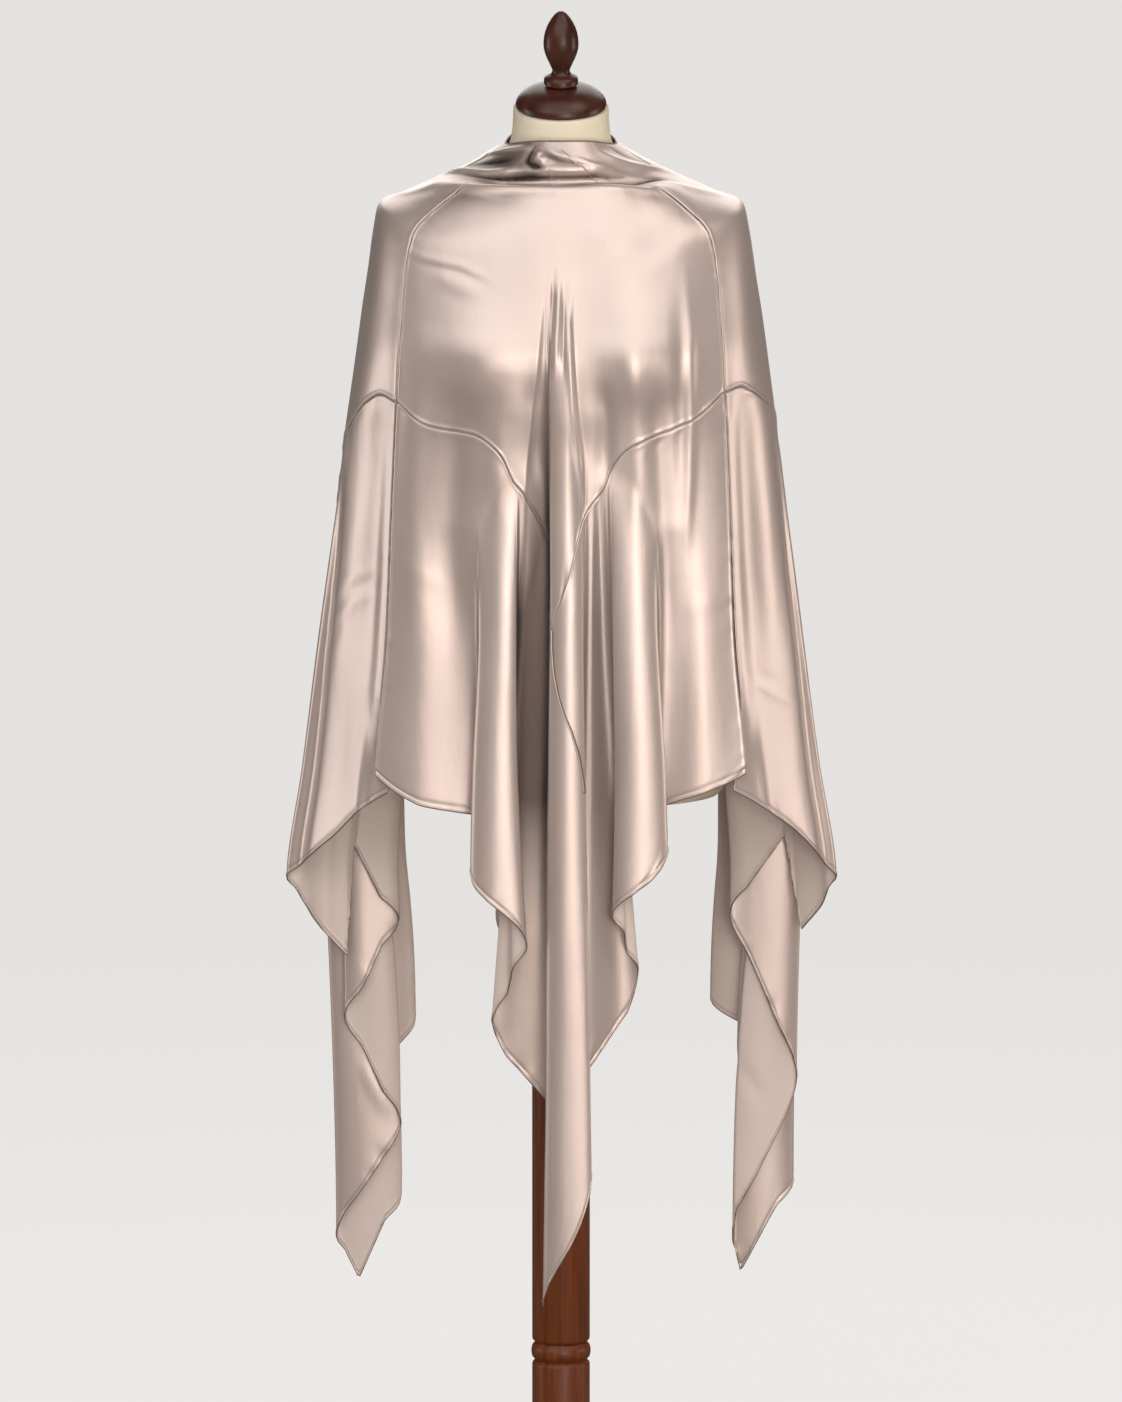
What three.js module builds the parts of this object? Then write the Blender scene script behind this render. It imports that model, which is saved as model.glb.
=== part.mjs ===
// Evening stole of eight sewn satin panels, worn by a limbless dress form on a turned stand.
// Millimetres, +Z up, front towards -Y, origin on the floor under the post.
import * as THREE from 'three';

// Driving sizes
const wall = 1.5;
const seamGap = 0.5;
const steepest = 10;
const probe = 0.06;
const bustZ = 1307;
const levelStep = 50;
const turnRadius = 4;
const turnSpan = 0.12;
const swellPower = 0.55;
const slidePower = 1.6;
const hangPower = 2.2;
const bust = { aside: 88, width: 46, height: 55, swell: 8 };
const neckTop = { z: 1561, radius: 52.5, slope: 0.16 };
const capTilt = THREE.MathUtils.degToRad(9);
const seatGap = 0.3;
const post = { radius: 31.6, top: 805, bead: 32.6, beadZ: 183, beadHalf: 9, groove: 28.5 };
const base = { radius: 200, height: 34, crown: 62 };
const torsoFoot = post.top + seatGap;
const sidesOf = { torso: 32, cap: 28, finial: 20, post: 24, base: 36 };

// Sections of the stole from the neck down: half width at the side, depth to front and back,
// height at front, side and back, squareness of the ring, and where the arm seam runs.
const ringColumns = ['half', 'front', 'back', 'zFront', 'zSide', 'zBack', 'power', 'seam'];
const yokeRings = [
  [60, 62, 61, 1527, 1520, 1536, 2.0, 8], // neck edge
  [79, 77, 72, 1507, 1508, 1519, 2.0, 32], // collar
  [106, 83, 84, 1483, 1495, 1502, 2.0, 58], // dip behind the cowl fold
  [137, 105, 96, 1487, 1481, 1484, 2.1, 100], // cowl fold
  [171, 118, 106, 1456, 1466, 1458, 2.3, 137], // upper chest
  [196, 126, 113, 1422, 1455, 1425, 2.6, 160], // shoulder tip
  [204, 134, 118, 1383, 1422, 1386, 2.7, 168], // armhole
  [212, 141, 121, 1345, 1364, 1347, 2.7, 172], // chest
];
const hangColumns = ['z', 'half', 'front', 'back', 'power', 'seam'];
const hangRings = [
  [bustZ, 219.6, 147, 122, 2.7, 175],
  [1255, 226.6, 144, 121, 2.7, 177.5],
  [1205, 233.5, 138, 121, 2.7, 180],
  [1130, 243.5, 134, 121, 2.7, 183],
  [1000, 261, 133, 122, 2.7, 188],
  [840, 283, 130, 124, 2.7, 202],
  [700, 302, 128, 124, 2.7, 206],
  [250, 302, 126, 122, 2.7, 206],
];

// Folds of the front, a row for each edge or crown met along the hem from left to right: its share
// of the panel, its place at the hem, how far it stands out there, where it starts, and the heights
// of the V seam and of the hem.
const foldColumns = ['edge', 'share', 'x', 'out', 'start', 'seam', 'hem'];
const frontFolds = [
  ['seam', -1, -202, 0, 840, 1254, 837],
  ['flat', -0.8, -154, 0, 840, 1232, 815],
  ['turn', -0.52, -80, -8, 1120, 1221, 796],
  ['turn', -0.47, -98, 9, 1120, 1219, 744],
  ['crown', -0.36, -67, 27, 1160, 1198, 704],
  ['turn', -0.28, -37, 14, 1165, 1172, 662],
  ['turn', -0.225, -74, -12, 1165, 1156, 574],
  ['turn', -0.12, 26, -18, 1390, 1090, 409],
  ['turn', -0.075, -20, 18, 1390, 1009, 262],
  ['crown', 0.02, 5, 34, 1390, 1062, 324],
  ['turn', 0.115, 33, 26, 1390, 1124, 409],
  ['turn', 0.16, 6, 9, 1390, 1142, 459],
  ['turn', 0.255, 83, -6, 1170, 1152, 633],
  ['turn', 0.31, 56, 10, 1175, 1182, 695],
  ['crown', 0.42, 84, 26, 1170, 1206, 726],
  ['turn', 0.55, 116, 9, 1120, 1218, 767],
  ['turn', 0.6, 98, -8, 1120, 1220, 803],
  ['flat', 0.82, 157, 0, 840, 1237, 827],
  ['seam', 1, 202, 0, 840, 1254, 837],
];
// Folds of the back, seen from behind and read from left to right as the front is.
const backFolds = [
  ['seam', -1, -202, 0, 840, 1254, 837],
  ['flat', -0.75, -146, 0, 840, 1238, 822],
  ['turn', -0.46, -62, -8, 1130, 1214, 792],
  ['turn', -0.41, -84, 9, 1130, 1210, 746],
  ['crown', -0.31, -58, 24, 1150, 1190, 706],
  ['turn', -0.235, -30, 13, 1150, 1160, 650],
  ['turn', -0.18, -62, -11, 1150, 1140, 575],
  ['turn', -0.08, 24, -16, 1300, 1085, 470],
  ['turn', -0.035, -18, 16, 1300, 1040, 400],
  ['crown', 0.05, 6, 30, 1300, 1070, 440],
  ['turn', 0.135, 32, 22, 1300, 1118, 505],
  ['turn', 0.18, 4, 6, 1300, 1138, 540],
  ['turn', 0.27, 72, -8, 1150, 1160, 650],
  ['turn', 0.33, 46, 9, 1150, 1188, 706],
  ['crown', 0.42, 72, 22, 1150, 1206, 740],
  ['turn', 0.53, 98, 9, 1130, 1216, 780],
  ['turn', 0.58, 80, -8, 1130, 1220, 806],
  ['flat', 0.8, 152, 0, 840, 1240, 826],
  ['seam', 1, 202, 0, 840, 1254, 837],
];

// Folds of a side, a row for each edge from the front arm seam round to the back one: its share of
// the panel, distance from the axis and depth at the hem, and the heights of seam and hem.
const sideColumns = ['edge', 'share', 'x', 'y', 'start', 'seam', 'hem'];
const leftFolds = [
  ['seam', 0, 202, -106, 840, 1254, 837],
  ['flat', 0.1, 223, -86, 1233, 1248, 805],
  ['flat', 0.2, 246, -64, 1227, 1242, 772],
  ['flat', 0.32, 274, -36, 1208, 1223, 743],
  ['turn', 0.43, 300, -5, 1185, 1200, 714],
  ['flat', 0.475, 266, 10, 1171, 1186, 659],
  ['flat', 0.51, 242, 20, 1157, 1172, 612],
  ['flat', 0.53, 226, 28, 1147, 1162, 745],
  ['turn', 0.555, 178, 36, 1130, 1145, 658],
  ['turn', 0.58, 236, 43, 1113, 1128, 550],
  ['turn', 0.605, 176, 50, 1095, 1110, 430],
  ['turn', 0.63, 247, 57, 1075, 1090, 302],
  ['flat', 0.64, 222, 61, 1067, 1082, 253],
  ['turn', 0.655, 175, 65, 1075, 1090, 345],
  ['turn', 0.685, 238, 73, 1093, 1108, 439],
  ['turn', 0.71, 160, 80, 1109, 1124, 540],
  ['turn', 0.8, 278, 86, 1160, 1175, 690],
  ['flat', 0.9, 243, 96, 1207, 1222, 770],
  ['seam', 1, 202, 103, 840, 1254, 837],
];
const rightFolds = [
  ['seam', 0, 202, -106, 840, 1254, 837],
  ['flat', 0.1, 226, -86, 1235, 1250, 808],
  ['flat', 0.2, 252, -64, 1231, 1246, 779],
  ['flat', 0.32, 278, -36, 1219, 1234, 747],
  ['turn', 0.43, 300, -5, 1207, 1222, 714],
  ['flat', 0.475, 283, 8, 1190, 1205, 678],
  ['flat', 0.51, 262, 18, 1173, 1188, 650],
  ['flat', 0.53, 244, 27, 1161, 1176, 755],
  ['turn', 0.56, 185, 36, 1141, 1156, 666],
  ['turn', 0.59, 258, 44, 1115, 1130, 482],
  ['turn', 0.62, 189, 52, 1083, 1098, 300],
  ['flat', 0.633, 197, 56, 1070, 1085, 262],
  ['turn', 0.65, 255, 60, 1079, 1094, 362],
  ['turn', 0.68, 193, 68, 1099, 1114, 432],
  ['turn', 0.71, 250, 76, 1118, 1133, 500],
  ['turn', 0.735, 165, 83, 1133, 1148, 560],
  ['turn', 0.8, 276, 90, 1169, 1184, 690],
  ['flat', 0.9, 243, 98, 1211, 1226, 770],
  ['seam', 1, 202, 103, 840, 1254, 837],
];

// Rings of the dress form from the foot up: height, half width, depth to front and back.
const torsoColumns = ['z', 'half', 'front', 'back'];
const torsoRings = [
  [torsoFoot, 172, 102, 100],
  [torsoFoot + 9, 180, 109, 106],
  [870, 181, 112, 108],
  [950, 168, 106, 104],
  [1079, 128, 92, 86],
  [1200, 140, 108, 96],
  [1300, 152, 128, 104],
  [1360, 162, 116, 105],
  [1405, 176, 100, 96],
  [1438, 186, 80, 80],
  [1452, 187, 60, 62],
  [1461, 176, 54, 56],
  [1476, 146, 52, 54],
  [1493, 107, 52, 54],
  [1506, 78, 53, 55],
  [1516, 60, 54, 56],
  [1526, 55.5, 55, 56],
];

const rowsOf = (columns, table) =>
  table.map((row) => Object.fromEntries(columns.map((name, i) => [name, row[i]])));

// A smooth curve through a table column that never overshoots its rows.
function smoothThrough(knots, values) {
  const last = knots.length - 1;
  const slope = (i) => (values[i + 1] - values[i]) / (knots[i + 1] - knots[i]);
  const tangent = (i) => {
    if (i === 0) return slope(0);
    if (i === last) return slope(last - 1);
    const before = slope(i - 1);
    const after = slope(i);
    return before * after <= 0 ? 0 : (2 * before * after) / (before + after);
  };
  return (t) => {
    const at = THREE.MathUtils.clamp(t, knots[0], knots[last]);
    let i = 0;
    while (i < last - 1 && at > knots[i + 1]) i += 1;
    const span = knots[i + 1] - knots[i];
    const u = (at - knots[i]) / span;
    const v = 1 - u;
    return (
      values[i] * (1 + 2 * u) * v * v +
      values[i + 1] * (3 - 2 * u) * u * u +
      tangent(i) * span * u * v * v -
      tangent(i + 1) * span * v * u * u
    );
  };
}

// A straight run from row to row of a table column.
function straightThrough(values) {
  return (p) => {
    const i = Math.min(Math.floor(p), values.length - 2);
    return THREE.MathUtils.lerp(values[i], values[i + 1], p - i);
  };
}

// The draped surface: every ring of the stole, numbered from the neck down.
const hangLevel = (z) => yokeRings.length + (bustZ - z) / levelStep;
const rings = [
  ...rowsOf(ringColumns, yokeRings).map((row, i) => ({ ...row, level: i })),
  ...rowsOf(hangColumns, hangRings).map((row) => ({
    ...row,
    zFront: row.z,
    zSide: row.z,
    zBack: row.z,
    level: hangLevel(row.z),
  })),
];
const ring = Object.fromEntries(
  ringColumns.map((name) => [
    name,
    smoothThrough(rings.map((row) => row.level), rings.map((row) => row[name])),
  ]),
);

// A point of the drape by its angle from the centre front, positive to the right.
function drapeAt(angle, level) {
  const sin = Math.sin(angle);
  const cos = Math.cos(angle);
  const squareness = 2 / ring.power(level);
  const ahead = cos > 0;
  const lift = Math.abs(sin) ** 3;
  const low = ahead ? ring.zFront(level) : ring.zBack(level);
  const z = low + (ring.zSide(level) - low) * lift;
  const x = ring.half(level) * Math.sign(sin) * Math.abs(sin) ** squareness;
  const depth = (ahead ? ring.front(level) : ring.back(level)) * Math.abs(cos) ** squareness;
  return [x, ahead ? -depth - bustSwell(x, z) : depth, z];
}

function bustSwell(x, z) {
  const across = (Math.abs(x) - bust.aside) / bust.width;
  const down = (z - bustZ) / bust.height;
  return bust.swell * Math.exp(-across * across - down * down);
}

const angleOf = (x, level) => {
  const share = Math.min(1, Math.abs(x) / ring.half(level));
  return Math.sign(x) * Math.asin(share ** (ring.power(level) / 2));
};

// The path of a hem seen from above: round turns at the fold edges, easy curves between them.
function foldPath(rows, depthName) {
  const last = rows.length - 1;
  const point = (i) => new THREE.Vector2(rows[i].x, rows[i][depthName]);
  const isTurn = (i) => rows[i].edge === 'turn';
  const rise = (i) => Math.sign(rows[i + 1][depthName] - rows[i - 1][depthName]) || 1;
  const reach = (i) => Math.sign(rows[i].x - rows[i - 1].x) || 1;
  const turnPoint = (i, share) => {
    const a = (share * Math.PI) / 2;
    return new THREE.Vector2(
      rows[i].x - reach(i) * turnRadius * (1 - Math.cos(a)),
      rows[i][depthName] + rise(i) * turnRadius * Math.sin(a),
    );
  };
  const leave = (i) => (isTurn(i) ? turnPoint(i, 1) : point(i));
  const arrive = (i) => (isTurn(i) ? turnPoint(i, -1) : point(i));
  const heading = (i, side) => {
    if (isTurn(i)) return new THREE.Vector2(reach(i) * side, 0);
    const from = i > 0 ? leave(i - 1) : point(i);
    const to = i < last ? arrive(i + 1) : point(i);
    return to.sub(from).normalize();
  };
  return (p) => {
    const near = Math.round(p);
    if (isTurn(near) && Math.abs(p - near) < turnSpan) return turnPoint(near, (p - near) / turnSpan);
    const i = Math.min(Math.floor(p), last - 1);
    const begin = isTurn(i) ? turnSpan : 0;
    const end = isTurn(i + 1) ? 1 - turnSpan : 1;
    const u = (p - i - begin) / (end - begin);
    const a = leave(i);
    const b = arrive(i + 1);
    const pull = a.distanceTo(b) / 3;
    const a2 = a.clone().addScaledVector(heading(i, -1), pull);
    const b2 = b.clone().addScaledVector(heading(i + 1, 1), -pull);
    return new THREE.CubicBezierCurve(a, a2, b2, b).getPoint(u);
  };
}

// Everything a panel's folds need, as functions of the place p along its table.
function foldsOf(columns, table, depthName) {
  const rows = rowsOf(columns, table);
  const column = (name) => straightThrough(rows.map((row) => row[name]));
  const pull = straightThrough(rows.map((row) => (row.edge === 'seam' ? 0 : 1)));
  return {
    rows,
    path: foldPath(rows, depthName),
    share: column('share'),
    start: column('start'),
    seam: column('seam'),
    hem: column('hem'),
    pull,
  };
}

const grown = (folds, p, z) => {
  const start = folds.start(p);
  const run = (start - z) / Math.max(1, start - folds.hem(p));
  return folds.pull(p) * THREE.MathUtils.clamp(run, 0, 1);
};

// A point of the front or back, with its folds, by place p and ring level.
function facePoint(folds, p, level, behind) {
  const edge = ring.seam(level) - seamGap / 2;
  const flatX = folds.share(p) * edge;
  const flatZ = drapeAt(angleOf(flatX, level), level)[2];
  const growth = grown(folds, p, flatZ);
  const hem = folds.path(p);
  const hemX = folds.share(p) * (ring.seam(hangLevel(folds.hem(p))) - seamGap / 2);
  const x = flatX + growth ** slidePower * (hem.x - hemX);
  const out = growth ** swellPower * hem.y;
  const angle = angleOf(x, level);
  if (!behind) {
    const [px, py, pz] = drapeAt(angle, level);
    return [px, py - out, pz];
  }
  const [bx, by, bz] = drapeAt(Math.PI - angle, level);
  return [-bx, by + out, bz];
}

// A point of the plain drape on a side panel as on the right, by share of the panel and ring level.
function sideDrape(share, level) {
  const seamAngle = angleOf(ring.seam(level) + seamGap / 2, level);
  return drapeAt(seamAngle + share * (Math.PI - 2 * seamAngle), level);
}

// A point of a side panel with its folds, by place p and ring level.
function sidePoint(folds, p, level) {
  const [x, y, z] = sideDrape(folds.share(p), level);
  const [hemX, hemY] = sideDrape(folds.share(p), hangLevel(folds.hem(p)));
  const growth = 1 - (1 - grown(folds, p, z)) ** hangPower;
  const hem = folds.path(p);
  return [x + growth * (hem.x - hemX), y + growth * (hem.y - hemY), z];
}

// The direction square to a panel's surface at a place and level, the same for all that meet there.
function squareTo(pointAt, lastPlace, p, level) {
  const within = (q) => THREE.MathUtils.clamp(q, 0, lastPlace);
  const at = (q, l) => new THREE.Vector3(...pointAt(within(q), Math.max(0, l)));
  const along = at(p + probe, level).sub(at(p - probe, level));
  const down = at(p, level + probe).sub(at(p, level - probe));
  return along.cross(down).normalize();
}

// A closed wall over a grid of places and levels, half its thickness to each side of the surface.
// Side is 1, or -1 for the mirrored panel.
function wallOver(grid, pointAt, lastPlace, side) {
  const rowCount = grid.length;
  const columnCount = grid[0].length;
  const outer = [];
  const inner = [];
  grid.flat().forEach(([p, level]) => {
    const point = new THREE.Vector3(...pointAt(p, level));
    const normal = squareTo(pointAt, lastPlace, p, level);
    const mirror = new THREE.Vector3(side, 1, 1);
    outer.push(point.clone().addScaledVector(normal, -wall / 2).multiply(mirror));
    inner.push(point.clone().addScaledVector(normal, wall / 2).multiply(mirror));
  });
  const count = outer.length;
  const index = [];
  const quad = (a, b, c, d) => index.push(a, b, c, a, c, d);
  const id = (r, c) => r * columnCount + c;
  for (let r = 0; r + 1 < rowCount; r += 1) {
    for (let c = 0; c + 1 < columnCount; c += 1) {
      quad(id(r, c), id(r + 1, c), id(r + 1, c + 1), id(r, c + 1));
      quad(count + id(r, c), count + id(r, c + 1), count + id(r + 1, c + 1), count + id(r + 1, c));
    }
  }
  const rim = (a, b) => quad(a, b, count + b, count + a);
  const facingRim = (a, b) => quad(b, count + b, count + a, a);
  for (let c = 0; c + 1 < columnCount; c += 1) {
    facingRim(id(0, c), id(0, c + 1));
    rim(id(rowCount - 1, c + 1), id(rowCount - 1, c));
  }
  for (let r = 0; r + 1 < rowCount; r += 1) {
    rim(id(r + 1, 0), id(r, 0));
    facingRim(id(r, columnCount - 1), id(r + 1, columnCount - 1));
  }
  return closedGeometry([...outer, ...inner], index);
}

// A geometry from points and faces, turned so that its faces point outwards.
function closedGeometry(points, index) {
  let volume = 0;
  for (let i = 0; i < index.length; i += 3) {
    const [a, b, c] = [points[index[i]], points[index[i + 1]], points[index[i + 2]]];
    volume += a.dot(b.clone().cross(c));
  }
  const faces = volume > 0 ? index : [...index].reverse();
  const geometry = new THREE.BufferGeometry();
  const places = points.flatMap((point) => point.toArray());
  geometry.setAttribute('position', new THREE.Float32BufferAttribute(places, 3));
  geometry.setIndex(faces);
  geometry.computeVertexNormals();
  return geometry;
}

const evenly = (count) => Array.from({ length: count + 1 }, (_, i) => i / count);

// Places along a fold table: each row, and both sides of a turn.
const placesOf = (folds) =>
  folds.rows.flatMap((row, i) => (row.edge === 'turn' ? [i - turnSpan, i, i + turnSpan] : [i]));

const panelGrid = (along, rows, levelsAt) =>
  rows.map((v) =>
    along.map((p) => {
      const [top, bottom] = levelsAt(p);
      return [p, top + (bottom - top) * v];
    }),
  );

// Half the gap at the V seam, measured straight down: wider where the seam runs steeply.
function halfGap(folds, pointAt, p) {
  const before = Math.max(0, p - turnSpan);
  const after = Math.min(folds.rows.length - 1, p + turnSpan);
  const [a, b] = [before, after].map((q) => new THREE.Vector3(...pointAt(q, hangLevel(folds.seam(q)))));
  const run = Math.hypot(b.x - a.x, b.y - a.y);
  return (seamGap / 2) * Math.min(steepest, a.distanceTo(b) / run);
}

const aboveSeam = (folds, pointAt) => (p) =>
  [0, hangLevel(folds.seam(p) + halfGap(folds, pointAt, p))];
const belowSeam = (folds, pointAt) => (p) =>
  [hangLevel(folds.seam(p) - halfGap(folds, pointAt, p)), hangLevel(folds.hem(p))];

// Rows down a yoke, closer together over the cowl, and down a drop.
const yokeRows = [0, 0.06, 0.12, 0.17, 0.22, 0.27, 0.32, 0.42, 0.53, 0.64, 0.75, 0.88, 1];
const dropRows = [0, 0.05, 0.11, 0.18, 0.27, 0.38, 0.52, 0.68, 0.84, 1];

const front = foldsOf(foldColumns, frontFolds, 'out');
const back = foldsOf(foldColumns, backFolds, 'out');
const left = foldsOf(sideColumns, leftFolds, 'y');
const right = foldsOf(sideColumns, rightFolds, 'y');

const panel = (along, rows, levelsOf, folds, pointAt, side) =>
  wallOver(panelGrid(along, rows, levelsOf(folds, pointAt)), pointAt, folds.rows.length - 1, side);
const onFace = (folds, behind) => (p, level) => facePoint(folds, p, level, behind);
const onSide = (folds) => (p, level) => sidePoint(folds, p, level);

const faceYoke = (folds, behind) =>
  panel(placesOf(folds), yokeRows, aboveSeam, folds, onFace(folds, behind), 1);
const faceDrop = (folds, behind) =>
  panel(placesOf(folds), dropRows, belowSeam, folds, onFace(folds, behind), 1);
const shoulder = (folds, side) =>
  panel([...folds.rows.keys()], yokeRows, aboveSeam, folds, onSide(folds), side);
const sideDrop = (folds, side) =>
  panel(placesOf(folds), dropRows, belowSeam, folds, onSide(folds), side);

// The dress form: smooth rings from its foot to the slanted neck.
function torsoGeometry() {
  const sides = sidesOf.torso;
  const rows = rowsOf(torsoColumns, torsoRings);
  const around = evenly(sides).slice(0, sides).map((s) => s * 2 * Math.PI);
  const points = rows.flatMap((row) =>
    around.map((a) => {
      const depth = Math.cos(a) > 0 ? row.front : row.back;
      return new THREE.Vector3(row.half * Math.sin(a), -depth * Math.cos(a), row.z);
    }),
  );
  around.forEach((a) => {
    const y = -neckTop.radius * Math.cos(a);
    points.push(new THREE.Vector3(neckTop.radius * Math.sin(a), y, neckTop.z + neckTop.slope * y));
  });
  const ringCount = rows.length + 1;
  const foot = points.push(new THREE.Vector3(0, 0, torsoFoot)) - 1;
  const crown = points.push(new THREE.Vector3(0, 0, neckTop.z)) - 1;
  const index = [];
  for (let s = 0; s < sides; s += 1) {
    const n = (s + 1) % sides;
    for (let r = 0; r + 1 < ringCount; r += 1) {
      const a = r * sides;
      const b = a + sides;
      index.push(a + s, a + n, b + n, a + s, b + n, b + s);
    }
    const top = (ringCount - 1) * sides;
    index.push(foot, n, s, crown, top + s, top + n);
  }
  return closedGeometry(points, index);
}

// A turned piece from its profile of radius and height pairs.
function turned(profile, sides) {
  const points = profile.map(([radius, height]) => new THREE.Vector2(radius, height));
  return new THREE.LatheGeometry(points, sides).rotateX(Math.PI / 2);
}

// Profiles of the cap and of the finial with its collar, measured up from the top of the neck.
const capProfile = [[0, 0], [47, 0], [49, 2], [49, 6], [46, 12], [38, 19], [26, 23], [14, 24.5], [0, 24.5]];
const finialProfile = [
  [0, 24.8], [16, 24.8], [18.5, 27], [18.5, 32], [15, 36], [10.5, 38.5], [9.5, 42], [11, 46],
  [15.5, 56], [18.6, 66], [19, 74], [17.4, 85], [13, 96], [7, 105], [2.5, 108.4], [0, 109],
];
// Profiles of the post, with its bead between two grooves, and of the round foot.
const postProfile = [
  [0, base.crown + seatGap],
  [post.radius, base.crown + seatGap],
  [post.radius, post.beadZ - post.beadHalf - 6],
  [post.groove, post.beadZ - post.beadHalf - 1],
  [post.bead - 1, post.beadZ - post.beadHalf + 3],
  [post.bead, post.beadZ],
  [post.bead - 1, post.beadZ + post.beadHalf - 3],
  [post.groove, post.beadZ + post.beadHalf + 1],
  [post.radius, post.beadZ + post.beadHalf + 6],
  [post.radius, post.top],
  [0, post.top],
];
const baseProfile = [
  [0, 0], [base.radius - 4, 0], [base.radius, 4], [base.radius, base.height - 8],
  [base.radius - 6, base.height], [110, base.height + 4], [62, base.height + 14],
  [46, base.crown - 4], [42, base.crown], [0, base.crown],
];

// Finishes
const satin = () => new THREE.MeshStandardMaterial({ color: 0xc9b7ae, roughness: 0.35 });
const linen = () => new THREE.MeshStandardMaterial({ color: 0xe8decd, roughness: 0.9 });
const darkWood = () => new THREE.MeshStandardMaterial({ color: 0x3a231c, roughness: 0.35 });
const redWood = () => new THREE.MeshStandardMaterial({ color: 0x6b3c22, roughness: 0.4 });

function named(name, geometry, material) {
  const mesh = new THREE.Mesh(geometry, material);
  mesh.name = name;
  return mesh;
}

const stole = new THREE.Group();
stole.add(
  named('front_yoke', faceYoke(front, false), satin()),
  named('front_drop', faceDrop(front, false), satin()),
  named('back_yoke', faceYoke(back, true), satin()),
  named('back_drop', faceDrop(back, true), satin()),
  named('left_shoulder', shoulder(left, -1), satin()),
  named('left_drop', sideDrop(left, -1), satin()),
  named('right_shoulder', shoulder(right, 1), satin()),
  named('right_drop', sideDrop(right, 1), satin()),
);

const cap = new THREE.Group();
cap.position.set(0, 0, neckTop.z + seatGap);
cap.rotation.x = capTilt;
cap.add(
  named('neck_cap', turned(capProfile, sidesOf.cap), darkWood()),
  named('finial', turned(finialProfile, sidesOf.finial), darkWood()),
);

const displayStand = new THREE.Group();
displayStand.add(
  named('torso', torsoGeometry(), linen()),
  cap,
  named('post', turned(postProfile, sidesOf.post), redWood()),
  named('base', turned(baseProfile, sidesOf.base), redWood()),
);

const part = new THREE.Group();
part.add(stole, displayStand);

export default part;
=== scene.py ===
# %% [markdown]
# # A satin evening stole on its dress form
#
# The real thing is eight pieces of champagne satin: a yoke and a drop for the front, the back and
# each side, sewn at four arm seams and one zigzag seam. It has a soft cowl at the neck and long
# points at the hem. Here each piece is a thin shell laid on the form that the drawn part gave it.

# %% Load the drawn part
import math
import bpy
import numpy as np
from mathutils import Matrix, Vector


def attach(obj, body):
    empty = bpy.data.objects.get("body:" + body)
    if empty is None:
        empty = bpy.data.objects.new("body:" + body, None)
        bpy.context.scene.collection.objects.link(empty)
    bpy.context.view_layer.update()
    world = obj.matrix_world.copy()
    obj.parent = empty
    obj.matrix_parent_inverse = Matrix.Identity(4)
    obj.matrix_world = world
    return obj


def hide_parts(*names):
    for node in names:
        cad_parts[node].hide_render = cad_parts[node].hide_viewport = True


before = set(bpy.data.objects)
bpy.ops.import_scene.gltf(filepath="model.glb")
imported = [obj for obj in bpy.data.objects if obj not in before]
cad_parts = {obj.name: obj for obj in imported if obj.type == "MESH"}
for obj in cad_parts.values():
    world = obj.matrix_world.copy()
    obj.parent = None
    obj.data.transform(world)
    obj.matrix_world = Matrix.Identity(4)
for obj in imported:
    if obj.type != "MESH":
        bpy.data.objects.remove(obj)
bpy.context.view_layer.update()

MM = 0.001
scene = bpy.context.scene
print("drawn pieces:", ", ".join(sorted(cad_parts)))

# %% [markdown]
# ## The studio
#
# The photo was taken with a long lens from a little above, so the form looks almost flat and
# square-on. Satin shows what is around it. Small lamps would give hard spots, so the lamps are broad
# and soft, and the dim room between them gives the dark bands beside the folds.

# %% Camera
LOOK_DOWN = math.radians(10.5)
EYE_DISTANCE = 21.22
AIM = Vector((0.0, 0.0, 0.9065))
LENS_MM, FILM_MM = 500.0, 36.0
FARTHEST = 200.0

eye = AIM + EYE_DISTANCE * Vector((0.0, -math.cos(LOOK_DOWN), math.sin(LOOK_DOWN)))
bpy.ops.object.camera_add(location=eye, rotation=(math.pi / 2 - LOOK_DOWN, 0.0, 0.0))
camera = bpy.context.object
camera.data.lens = LENS_MM
camera.data.sensor_width = FILM_MM
camera.data.clip_end = FARTHEST
scene.camera = camera
print("camera at", [round(c, 2) for c in eye])

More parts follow.
